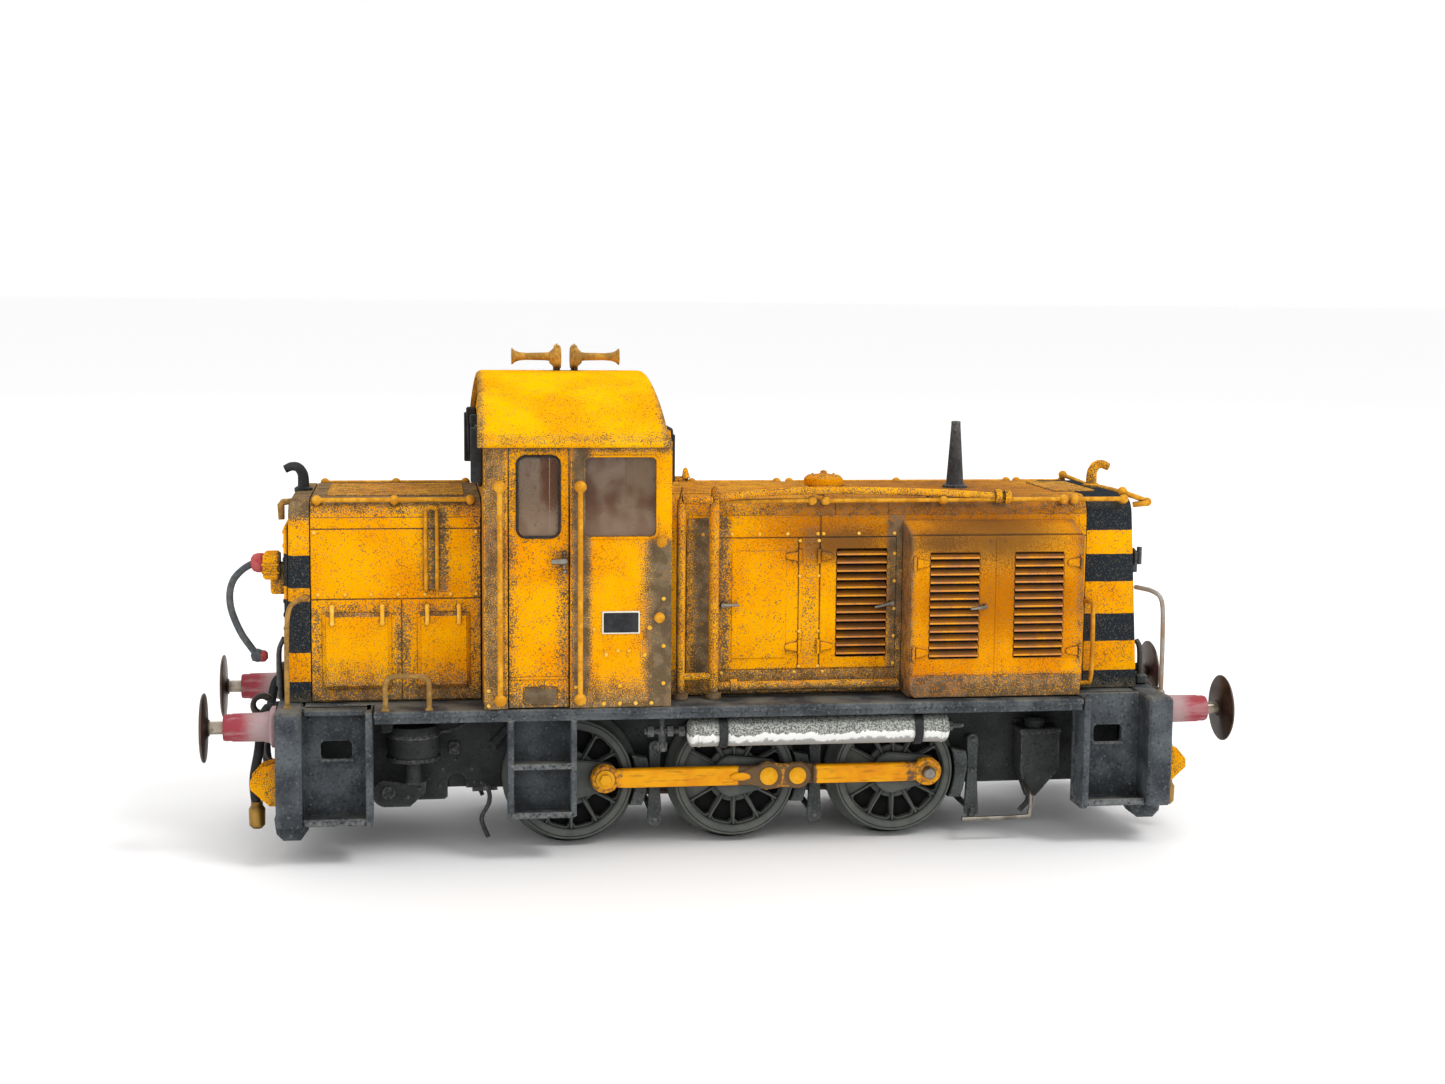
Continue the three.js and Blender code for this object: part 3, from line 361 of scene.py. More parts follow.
# ---- materials -----------------------------------------------------------------------------------
class Surface:
    """A procedural material. Places are in mm in the object's own axes."""

    def __init__(self, name):
        self.material = bpy.data.materials.new(name)
        self.material.use_nodes = True
        self.tree = self.material.node_tree
        self.shader = self.tree.nodes["Principled BSDF"]
        coords = self.node("TexCoord").outputs["Object"]
        scale = self.node("VectorMath", {0: coords, "Scale": 1 / MM}, operation="SCALE")
        self.place = scale.outputs["Vector"]
        split = self.node("SeparateXYZ", {"Vector": self.place})
        self.x, self.y, self.z = split.outputs

    def node(self, kind, inputs=None, **settings):
        """A shader node whose inputs are sockets to link or values to set."""
        made = self.tree.nodes.new("ShaderNode" + kind)
        for key, value in settings.items():
            setattr(made, key, value)
        for key, value in (inputs or {}).items():
            if isinstance(value, bpy.types.NodeSocket):
                self.tree.links.new(value, made.inputs[key])
            else:
                made.inputs[key].default_value = value
        return made

    def noise(self, scale, detail=2.0, stretch=(1, 1, 1), shift=0.0):
        """Noise whose features are about 1/scale mm across, drawn out where stretch is small."""
        place = self.node("VectorMath", {0: self.place, 1: stretch}, operation="MULTIPLY").outputs[0]
        place = self.node("VectorMath", {0: place, 1: (shift, shift, shift)}, operation="ADD").outputs[0]
        inputs = {"Vector": place, "Scale": scale, "Detail": detail}
        return self.node("TexNoise", inputs).outputs["Fac"]

    def maths(self, operation, a, b=0.0):
        return self.node("Math", {0: a, 1: b}, operation=operation).outputs[0]

    def plus(self, a, b):
        return self.maths("ADD", a, b)

    def minus(self, a, b):
        return self.maths("SUBTRACT", a, b)

    def times(self, a, b):
        return self.maths("MULTIPLY", a, b)

    def over(self, a, b):
        return self.maths("DIVIDE", a, b)

    def length(self, a, b):
        """How long the vector (a, b) is."""
        return self.maths("SQRT", self.plus(self.times(a, a), self.times(b, b)))

    def shake(self, noise, amount):
        """Noise spread about 0 instead of 0.5."""
        return self.times(self.minus(noise, 0.5), amount)

    def fade(self, value, low, high, to=1.0):
        """0 at low, to at high, smooth between."""
        inputs = {"Value": value, "From Min": low, "From Max": high, "To Min": 0.0, "To Max": to}
        return self.node("MapRange", inputs, interpolation_type="SMOOTHSTEP").outputs["Result"]

    def most(self, *values):
        """The largest of the values."""
        result = values[0]
        for value in values[1:]:
            result = self.maths("MAXIMUM", result, value)
        return result

    def band(self, value, centre, half, soft, to=1.0):
        """High within half of the centre, fading out over soft."""
        away = self.maths("ABSOLUTE", self.minus(value, centre))
        return self.fade(away, half + soft, half, to)

    def blend(self, amount, a, b):
        """Colour a where the amount is 0, b where it is 1."""
        inputs = {"Fac": amount, "Color1": a, "Color2": b}
        return self.node("MixRGB", inputs, blend_type="MIX").outputs["Color"]

    def hollows(self, distance, low=0.95, high=0.45):
        """1 deep in corners and under things, 0 in the open: an occlusion mask, used to paint shade
        there.
        """
        inputs = {"Distance": distance * MM}
        out = self.node("AmbientOcclusion", inputs, samples=4).outputs["AO"]
        return self.fade(out, low, high)

    def edges(self, distance=0.25, low=0.85, high=0.5):
        """1 on sharp outer edges, 0 on flat faces: a mask for edges painted lighter, as wear and as
        highlight.
        """
        inputs = {"Distance": distance * MM}
        out = self.node("AmbientOcclusion", inputs, samples=4, inside=True).outputs["AO"]
        return self.fade(out, low, high)

    def patch(self, centre, half, low, high, amount=1.0, soft=1.1):
        """High in a column of the side view, between two heights."""
        across = self.band(self.x, centre, half, soft, amount)
        up = self.band(self.z, (low + high) / 2, (high - low) / 2, 1.2)
        return self.times(across, up)

    def upward(self, low=0.3, high=0.9):
        """1 on faces that look up."""
        normal = self.node("NewGeometry").outputs["Normal"]
        return self.fade(self.node("SeparateXYZ", {"Vector": normal}).outputs[2], low, high)

    def finish(self, colour, roughness, height=None, depth=0.02, strength=0.5, **sockets):
        """The material, with its relief depth in mm. More sockets of the shader go by name."""
        self.tree.links.new(colour, self.shader.inputs["Base Color"])
        self.tree.links.new(roughness, self.shader.inputs["Roughness"])
        if height is not None:
            inputs = {"Height": height, "Distance": depth * MM, "Strength": strength}
            bump = self.node("Bump", inputs).outputs["Normal"]
            self.tree.links.new(bump, self.shader.inputs["Normal"])
        for key, value in sockets.items():
            self.shader.inputs[key.replace("_", " ")].default_value = value
        return self.material


def rgb(r, g, b):
    """A colour from its 0 to 255 screen values."""
    def linear(c):
        c /= 255
        return c / 12.92 if c <= 0.04045 else ((c + 0.055) / 1.055) ** 2.4
    return (linear(r), linear(g), linear(b), 1)


YELLOW, AMBER = rgb(250, 172, 0), rgb(236, 148, 0)
# The grime colour, and a near-black painted shade for the tightest creases.
DIRT, CREASE_SHADE = rgb(106, 99, 84), rgb(46, 42, 37)
RUST, SCORCH = rgb(176, 100, 6), rgb(108, 72, 36)
INK = rgb(38, 44, 50)
MATT = 0.0  # specular level of matt paint


def paint(name, columns=(), rows=(), foot=19.5, rust=(), stripes=(), dusty=0.0, over=None,
          lid=0.0, tones=(YELLOW, AMBER)):
    """Orange-yellow paint with airbrushed grime, painted shade mixed into that grime near raised
    parts and in recesses, and near-black painted shade in the tightest creases. Columns of grime
    are (x, half width, low, high, amount), with a softness after that where it isn't the usual
    one, and rows are (z, half width, amount). Rust is (x, z, reach, colour) and stripes are z
    ranges painted black. Below the foot it is dirty, dusty is grime all over, over is the
    (low, high) the grime grows between towards the top, and lid is how dirty the faces that look
    up are."""
    s = Surface(name)
    broad, middle = s.noise(0.16, 2), s.noise(0.8, 2, shift=3.0)
    grain, specks = s.noise(8.5, 0), s.noise(6.5, 0.5, shift=31.0)
    streaks = s.noise(1.5, 2, stretch=(1, 1, 0.09), shift=7.0)
    rough_edge = s.plus(s.shake(grain, 2.2), s.shake(middle, 0.8))
    colour = s.blend(s.fade(broad, 0.35, 0.7), *tones)
    colour = s.blend(s.fade(streaks, 0.5, 0.85, 0.3), colour, tones[1])
    for x, z, reach, stain in rust:
        dx = s.over(s.minus(s.x, x), reach)
        dz = s.over(s.minus(s.z, z), reach * 0.42)
        away = s.length(dx, dz)
        away = s.plus(away, s.times(rough_edge, 0.5))
        colour = s.blend(s.fade(away, 1.1, 0.3, 0.85), colour, stain)
    density = s.fade(broad, 0.35, 0.7)
    dots = s.times(s.fade(specks, 0.6, 0.7, 0.7), s.plus(0.2, density))
    colour = s.blend(dots, colour, rgb(120, 82, 22))
    for low, high in stripes:
        ragged = s.plus(s.z, s.shake(middle, 0.12))
        mask = s.band(ragged, (low + high) / 2, (high - low) / 2, 0.06)
        colour = s.blend(mask, colour, INK)
    # Occlusion paints shade into the grime near raised parts and in recesses.
    marks = [s.hollows(1.6, 0.9, 0.3)]
    if foot:
        marks.append(s.fade(s.z, foot, DECK - 0.5, 1.0))
    marks += [s.patch(*column) for column in columns]
    marks += [s.band(s.z, centre, half, 0.8, amount) for centre, half, amount in rows]
    if over:
        marks.append(s.fade(s.z, *over))
    if lid:
        marks.append(s.times(s.upward(), lid))
    grime_and_shade = s.plus(s.plus(s.most(*marks), dusty), rough_edge)
    mask = s.fade(grime_and_shade, 0.1, 0.95, 0.95)
    colour = s.blend(mask, colour, s.blend(s.fade(middle, 0.4, 0.6), DIRT, rgb(84, 78, 66)))
    # Painted shade: near black in the tightest creases.
    deep = s.times(s.hollows(0.4, 0.8, 0.35), 0.9)
    colour = s.blend(deep, colour, CREASE_SHADE)
    rough = s.plus(0.45, s.times(mask, 0.35))
    height = s.plus(grain, s.times(mask, s.noise(6.0, 2)))
    return s.finish(colour, rough, height, 0.03, 0.5, Specular_IOR_Level=MATT)


def slate(name, light=(84, 89, 93), dark=(44, 49, 54), dust=0.35, depth=0.06, shade=0.8,
          pale=0.5):
    """Rough-grained dark grey casting with brown dust on its ledges, bare edges painted lighter as wear
    and as highlight, and painted shade in its hollows.
    """
    s = Surface(name)
    light, dark = rgb(*light), rgb(*dark)
    broad, grain, pits = s.noise(0.3, 3), s.noise(3.4, 3), s.noise(7.0, 1, shift=11.0)
    colour = s.blend(s.fade(broad, 0.3, 0.7), dark, light)
    colour = s.blend(s.fade(grain, 0.56, 0.75, pale), colour, rgb(124, 128, 128))
    colour = s.blend(s.fade(grain, 0.44, 0.3, 0.7), colour, rgb(22, 24, 27))
    # Edges painted lighter: partly bare metal worn through, partly a painted highlight.
    colour = s.blend(s.times(s.edges(0.3), s.fade(grain, 0.35, 0.6, 0.45)), colour, rgb(132, 132, 128))
    dusty = s.times(s.upward(), s.fade(broad, 0.35, 0.7, dust))
    colour = s.blend(dusty, colour, rgb(116, 112, 98))
    # Painted shade: near black deep in hollows and under things, as strong as shade says.
    colour = s.blend(s.times(s.hollows(2.4, 0.85, 0.2), shade), colour, rgb(14, 15, 16))
    rough = s.plus(0.6, s.times(grain, 0.3))
    height = s.plus(grain, s.times(pits, 0.5))
    return s.finish(colour, rough, height, depth, 0.8, Specular_IOR_Level=0.3)


def metal(name, base, tint, dull, shine=0.3, metallic=1.0):
    """Bare or plated metal, tinted in patches, speckled dull, and with the dull colour painted as shade
    in its corners.
    """
    s = Surface(name)
    base, tint, dull = rgb(*base), rgb(*tint), rgb(*dull)
    broad, fine = s.noise(0.6, 3), s.noise(6.0, 2)
    colour = s.blend(s.fade(broad, 0.4, 0.7), base, tint)
    colour = s.blend(s.fade(fine, 0.55, 0.8, 0.35), colour, dull)
    # Painted shade: the dull colour in corners and under things.
    colour = s.blend(s.times(s.hollows(0.9), 0.6), colour, dull)
    rough = s.plus(shine, s.times(fine, 0.25))
    return s.finish(colour, rough, fine, 0.01, 0.4, Metallic=metallic)


def worn(name, base, rubbed, dull, amount=0.5, rough=0.55, grain_scale=2.2, gloss=0.25):
    """Paint or plastic rubbed lighter in patches, and darker in its corners, where the dull colour is
    painted as shade.
    """
    s = Surface(name)
    base, rubbed, dull = rgb(*base), rgb(*rubbed), rgb(*dull)
    broad, grain = s.noise(0.55, 3), s.noise(grain_scale, 3)
    both = s.plus(s.times(broad, 0.6), s.times(grain, 0.4))
    colour = s.blend(s.fade(both, 0.42, 0.62, amount), base, rubbed)
    # Painted shade in corners and under things.
    colour = s.blend(s.hollows(1.0, 0.85, 0.3), colour, dull)
    roughness = s.plus(rough, s.times(grain, 0.25))
    return s.finish(colour, roughness, grain, 0.03, 0.5, Specular_IOR_Level=gloss)


def tank_skin():
    """Silver above a ragged line, worn to white below it, with soot speckles on top."""
    s = Surface("tank_skin")
    grain, fine, wave = s.noise(2.6, 3), s.noise(6.0, 2), s.noise(0.7, 3, stretch=(1, 0.2, 0.2))
    line = s.plus(s.z, s.shake(wave, 1.5))
    line = s.plus(line, s.shake(grain, 0.7))
    colour = s.blend(s.fade(fine, 0.42, 0.58), rgb(92, 94, 90), rgb(172, 174, 167))
    colour = s.blend(s.fade(grain, 0.6, 0.72, 0.8), colour, rgb(76, 78, 76))
    colour = s.blend(s.fade(s.z, 13.2, 14.0, 0.25), colour, rgb(88, 92, 90))
    colour = s.blend(s.fade(line, 12.72, 12.6), colour, rgb(236, 237, 234))
    colour = s.blend(s.fade(line, 12.1, 11.8, 0.8), colour, rgb(132, 130, 124))
    # Painted shade: dark grey in the hollows.
    colour = s.blend(s.hollows(0.5), colour, rgb(60, 60, 60))
    rough = s.plus(0.35, s.times(grain, 0.3))
    return s.finish(colour, rough, grain, 0.05, 0.6, Metallic=0.15)


def rod_paint():
    """Yellow rods, streaked along their length and bare dirty grey round each boss, with painted shade
    from occlusion mixed into that grey.
    """
    s = Surface("rod_paint")
    grain, broad = s.noise(2.6, 3), s.noise(0.5, 2)
    colour = s.blend(s.fade(broad, 0.35, 0.7), YELLOW, AMBER)
    scratches = s.noise(3.2, 3, stretch=(0.16, 1, 1))
    colour = s.blend(s.fade(scratches, 0.56, 0.66, 0.4), colour, rgb(140, 92, 24))
    far = s.fade(s.y, -1, 1)

    def from_axle(place, axle, swing):
        """The place measured from the crank pin instead of the axle, on either side."""
        near_pin, far_pin = (THROW * swing(CRANK[side]) for side in ("near", "far"))
        shift = s.plus(s.times(far, far_pin - near_pin), axle + near_pin)
        return s.minus(place, shift)

    along, height = from_axle(s.x, 0, math.cos), from_axle(s.z, AXLE_Z, math.sin)
    # Occlusion adds painted shade in the rods' corners to the grime marks.
    marks = [s.hollows(0.7, 0.85, 0.4)]
    for x in (AXLES["middle"], AXLES["middle"] + KNUCKLE):
        across = s.minus(along, x)
        away = s.length(across, height)
        marks.append(s.band(away, 1.15, 0.15, 0.3, 1.1))
    for x, reach, amount in ((AXLES["front"], 1.5, 0.55), (AXLES["middle"] - 1.7, 1.2, 1.0),
                             (AXLES["middle"] + 1.5, 0.9, 0.7),
                             (AXLES["middle"] + KNUCKLE + 1.5, 0.35, 1.0),
                             (AXLES["rear"] - 1.7, 0.4, 0.65), (AXLES["rear"], 1.2, 0.5)):
        marks.append(s.band(along, x, reach, 0.6, amount))
    ahead = s.over(s.minus(along, AXLES["middle"] - 2.9), 0.95)
    over = s.over(height, 0.4)
    tip = s.length(ahead, over)
    clean = s.fade(tip, 1.15, 0.8, 1.2)
    grime_and_shade = s.plus(s.minus(s.most(*marks), clean), s.shake(grain, 1.4))
    mask = s.fade(grime_and_shade, 0.3, 0.85, 0.9)
    colour = s.blend(mask, colour, rgb(78, 72, 63))
    rough = s.plus(0.42, s.times(mask, 0.3))
    return s.finish(colour, rough, grain, 0.03, 0.5, Specular_IOR_Level=0.2)


def slat_paint():
    """Louvre slats: outward faces painted bright as a highlight, and a brown slope behind them painted
    darker as shade.
    """
    s = Surface("slat_paint")
    normal = s.node("NewGeometry").outputs["Normal"]
    facing = s.maths("ABSOLUTE", s.node("SeparateXYZ", {"Vector": normal}).outputs[1])
    grain, broad = s.noise(6.0, 2), s.noise(0.5, 2)
    highlight_lip = s.blend(s.fade(broad, 0.35, 0.65), rgb(232, 156, 40), rgb(206, 132, 76))
    slope = s.blend(s.fade(broad, 0.35, 0.65), rgb(150, 92, 24), rgb(122, 82, 44))
    # Faces that look straight out get the painted highlight, the rest the painted shade of the slope.
    colour = s.blend(s.fade(facing, 0.8, 0.95), slope, highlight_lip)
    colour = s.blend(s.fade(grain, 0.55, 0.75, 0.5), colour, rgb(92, 62, 34))
    # Painted shadow: near black deep between the slats.
    colour = s.blend(s.hollows(0.5, 0.6, 0.1), colour, rgb(26, 19, 13))
    return s.finish(colour, s.plus(0.5, s.times(grain, 0.3)), grain, 0.02, 0.4,
                    Specular_IOR_Level=0.1)


def stock_paint():
    """Buffer stocks: dull red on the outer half, rubbed to pinkish grey on the inner half."""
    s = Surface("stock_paint")
    grain, smear = s.noise(3.0, 3), s.noise(1.6, 2, stretch=(0.2, 1, 1))
    along = s.plus(s.maths("ABSOLUTE", s.x), s.shake(grain, 0.8))
    colour = s.blend(s.fade(along, 48.0, 49.9), rgb(172, 148, 148), rgb(160, 62, 72))
    colour = s.blend(s.fade(smear, 0.48, 0.66, 0.6), colour, rgb(178, 136, 138))
    # Painted shade: dark red-brown in the hollows.
    colour = s.blend(s.hollows(0.9), colour, rgb(66, 48, 46))
    rough = s.plus(0.5, s.times(grain, 0.3))
    return s.finish(colour, rough, grain, 0.03, 0.5, Specular_IOR_Level=0.25)


def window_skin():
    """Smoky brown glazing, filmed with dust towards its lower edge."""
    s = Surface("window_skin")
    smear, fine = s.noise(0.24, 2, stretch=(1, 1, 0.7), shift=5.0), s.noise(3.2, 3)
    colour = s.blend(s.fade(smear, 0.44, 0.56), rgb(126, 104, 82), rgb(96, 60, 36))
    colour = s.blend(s.fade(s.z, 37.5, 33.2, 0.5), colour, rgb(152, 130, 108))
    colour = s.blend(s.fade(fine, 0.58, 0.7, 0.6), colour, rgb(66, 50, 40))
    alpha = s.plus(0.6, s.times(s.fade(s.z, 38.5, 33.5), 0.2))
    s.tree.links.new(alpha, s.shader.inputs["Alpha"])
    rough = s.plus(0.12, s.times(fine, 0.25))
    return s.finish(colour, rough, fine, 0.005, 0.2, Specular_IOR_Level=0.3)


NOSE_SHORT_STRIPES = [(14, 17.9), (20.9, 26.1), (27.5, 30.75)]
NOSE_LONG_STRIPES = [(15, 17.7), (20.9, 23.8), (27.3, 30.2), (32.8, 40)]
LOOKS = {
    # On the short bonnet the first column is a dark band beside the U pipe: partly grime, partly a
    # painted shadow of the pipe.
    "bonnet_short": (paint("paint_short_bonnet",
                           columns=[(-30.0, 0.5, 27.5, 35, 0.95), (-33.6, 0.3, 17, 24.5, 0.7),
                                    (-26, 0.1, 17, 34, 0.5), (-42.3, 0.1, 17, 25, 0.6)],
                           rows=[(25.3, 0.2, 0.4), (35.6, 0.4, 0.55)], foot=21.4, lid=1.1),
                     "body_yellow"),
    "bonnet_long": (paint("paint_long_bonnet",
                          columns=[(-1.0, 0.4, 16, 34, 0.8), (8.3, 0.2, 17, 33, 0.3),
                                   (17.5, 0.4, 16, 34, 0.95)], rows=[(35.2, 0.4, 0.5), (17.3, 0.8, 0.8)],
                          lid=0.5, rust=[(11, 33, 10, RUST), (16.5, 26, 6, RUST), (24, 36, 14, RUST),
                                         (12, 31.6, 6, SCORCH)]), "body_yellow"),
    "intake": (paint("paint_intake", columns=[(17.4, 0.5, 16, 34, 0.9), (36.5, 0.1, 16, 34, 0.5)],
                     rows=[(16.7, 1.2, 0.85)],
                     rust=[(27.2, 26, 13, RUST), (27.2, 32.6, 10, SCORCH), (21, 32, 4, SCORCH)],
                     foot=19.4, tones=(rgb(240, 158, 0), rgb(214, 126, 2))), "body_yellow"),
    "cab": (paint("paint_cab", columns=[(-24.5, 0.6, 16, 42, 0.85), (-15.9, 0.4, 17, 42, 1.1),
                                        (-7.8, 0.5, 16, 32.2, 1.2, 2.4), (-17.6, 0.1, 17, 30, 0.55),
                                        (-22.9, 0.1, 17, 42, 0.5), (-19.95, 1.2, 16.6, 17.4, 1.4)],
                  rows=[(42.2, 0.3, 0.75)], foot=20.8), "body_yellow"),
    "roof": (paint("paint_roof", columns=[(-26.0, 0.1, 42, 50, 0.7), (-7.2, 0.1, 42, 50, 0.8)],
                   rows=[(42.85, 0.05, 0.4)], foot=None, tones=(rgb(254, 188, 0), rgb(243, 164, 0))),
             "body_yellow"),
    "pipes": (paint("paint_pipes", dusty=0.42, foot=18.0), "body_yellow"),
    "rails": (worn("paint_rails", (196, 132, 30), (240, 178, 56), (86, 72, 52), 0.6, gloss=0.08),
              "body_yellow"),
    "grab": (worn("paint_grab_rails", (136, 104, 56), (196, 150, 76), (66, 54, 40), 0.6, gloss=0.15),
             "body_yellow"),
    # Rivet heads are painted paler than the body paint as a highlight, and rubbed lighter in patches.
    "rivets": (worn("rivet_highlight_paint", (240, 178, 50), (255, 214, 110), (96, 78, 50), 0.5, gloss=0.1),
               "body_yellow"),
    "horn": (worn("horn_paint", (150, 112, 48), (226, 168, 66), (56, 46, 32), 0.55, gloss=0.2),
             "horn_brass"),
    "slats": (slat_paint(), "body_yellow"),
    "nose_short": (paint("paint_nose_short", stripes=NOSE_SHORT_STRIPES, foot=17.2, dusty=0.12,
                         over=(33.6, 35.2)), "body_yellow"),
    "nose_long": (paint("paint_nose_long", stripes=NOSE_LONG_STRIPES, foot=17.4, dusty=0.05),
                  "body_yellow"),
    "bracket": (paint("paint_brackets", foot=None, dusty=0.22), "body_yellow"),
    "frame": (slate("slate_frame", dust=0.6, shade=0.65), "frame_slate"),
    "panel": (paint("paint_panel", columns=[(-2.7, 0.5, 15, 36, 0.5)], dusty=0.66, foot=None),
              "body_yellow"),
    # The chassis grey is darker than the frame's: partly its own colour, partly painted shade for its
    # place under the deck; shade 1.0 darkens its hollows fully.
    "chassis": (slate("slate_chassis", (60, 62, 62), (40, 42, 42), 0.2, 0.03, 1.0, 0.12),
                "chassis_metal"),
    "keeper": (slate("slate_keeper", (40, 41, 43), (26, 27, 28), 0.1, 0.02), "keeper_plastic"),
    "brakes": (slate("slate_brakes", (80, 84, 84), (56, 60, 60), 0.2, 0.02), "brake_plastic"),
    # Near black behind the wheel spokes: partly a closed back, partly painted shade.
    "recess": (worn("wheel_recess", (24, 24, 24), (36, 36, 35), (8, 8, 8), 0.5, 0.8), "wheel_grey"),
    "wheel": (worn("wheel_paint", (80, 84, 81), (98, 100, 94), (20, 21, 22), 0.6, 0.5, 1.2),
              "wheel_grey"),
    "rods": (rod_paint(), "rod_yellow"),
    "bolts": (worn("bolt_paint", (240, 164, 10), (250, 196, 70), (96, 72, 36), 0.4, gloss=0.1),
              "rod_yellow"),
    "stock": (stock_paint(), "stock_red"),
    "buffer": (metal("buffer_metal", (92, 80, 72), (70, 60, 54), (48, 42, 38), 0.34), "buffer_bronze"),
    "stem": (metal("stem_metal", (176, 164, 148), (120, 108, 98), (70, 62, 58), 0.2), "buffer_bronze"),
    "steel": (metal("bright_metal", (146, 140, 130), (106, 100, 92), (62, 58, 54), 0.28),
              "bright_steel"),
    "dull": (metal("dull_metal", (158, 154, 146), (150, 124, 100), (92, 86, 78), 0.45, 0.4),
             "bright_steel"),
    "hook": (metal("hook_metal", (58, 56, 56), (82, 74, 68), (30, 29, 29), 0.4, 0.7), "hook_black"),
    "hose": (worn("hose_rubber", (70, 74, 78), (104, 106, 106), (36, 37, 38), 0.6, 0.6), "hose_grey"),
    "black": (worn("black_trim", (34, 35, 37), (62, 63, 64), (16, 16, 17), 0.5, 0.55), "hose_grey"),
    "red": (worn("red_trim", (168, 44, 52), (190, 110, 104), (80, 34, 34), 0.5, 0.5), "stock_red"),
    "brass": (metal("brass_metal", (168, 132, 66), (120, 92, 52), (84, 68, 44), 0.34), "horn_brass"),
    "drive_brass": (metal("drive_brass_metal", (206, 170, 96), (186, 146, 76), (120, 96, 56), 0.25),
                    "drive_brass"),
    "tank": (tank_skin(), "tank_silver"),
    "window": (window_skin(), "window_smoke"),
    # Near-black boxes behind the louvres: painted shade for the dark inside of the bonnet.
    "soot": (worn("louvre_shade_black", (30, 25, 20), (46, 36, 26), (12, 11, 10), 0.4, 0.8), "body_yellow"),
    "inside": (worn("inside_paint", (84, 76, 66), (112, 92, 70), (40, 36, 32), 0.6, 0.7),
               "interior_grey"),
    "exhaust": (slate("exhaust_soot", (74, 74, 74), (46, 46, 46), 0.1, 0.03), "exhaust_grey"),
    "motor": (metal("motor_metal", (150, 150, 148), (126, 126, 124), (80, 80, 80), 0.3), "motor_steel"),
    "nylon": (worn("gear_plastic", (226, 222, 206), (236, 232, 220), (150, 140, 120), 0.5),
              "gear_nylon"),
    "board": (worn("board_lacquer", (36, 92, 58), (52, 116, 72), (20, 44, 30), 0.5, 0.35),
              "board_green"),
    "contact": (metal("contact_metal", (96, 78, 62), (80, 62, 50), (50, 42, 36), 0.35),
                "contact_bronze"),
}


# ---- underframe ----------------------------------------------------------------------------------
def footplate():
    """The deck, open over the drive, with its valance and the narrow ends over the beams."""
    wide, deck_end, pocket, nose_end = 16.05, 36.45, 11.5, FRAME_END
    half = [(-nose_end, pocket), (-deck_end, pocket), (-deck_end, wide), (deck_end, wide),
            (deck_end, pocket), (nose_end, pocket)]
    outline = half + [(x, -y) for x, y in reversed(half)]
    well = rounded((-5.9, 34.4), (-6.7, 6.7), 0.5)
    shapes = [slab("z", outline, 15.12, DECK, [well], 0.12)]
    for side in (-1, 1):
        shapes.append(box((-deck_end, deck_end), (side * 15.1, side * 15.85), (14.5, 15.2), 0.1))
        shapes.append(box((-deck_end, deck_end), (side * 6.9, side * 15.2), (14.8, 15.2), 0.05))
        shapes.append(box((-nose_end, -deck_end - 0.2), (side * 11.3, side * 14.2), (15.1, 15.7), 0.12))
        shapes += [rivet((x, side * 15.85, 14.85), "y", side, 0.15) for x in frange(-34, 34, 3.1)]
    piece("footplate_deck", shapes, "frame", replaces=["footplate"])


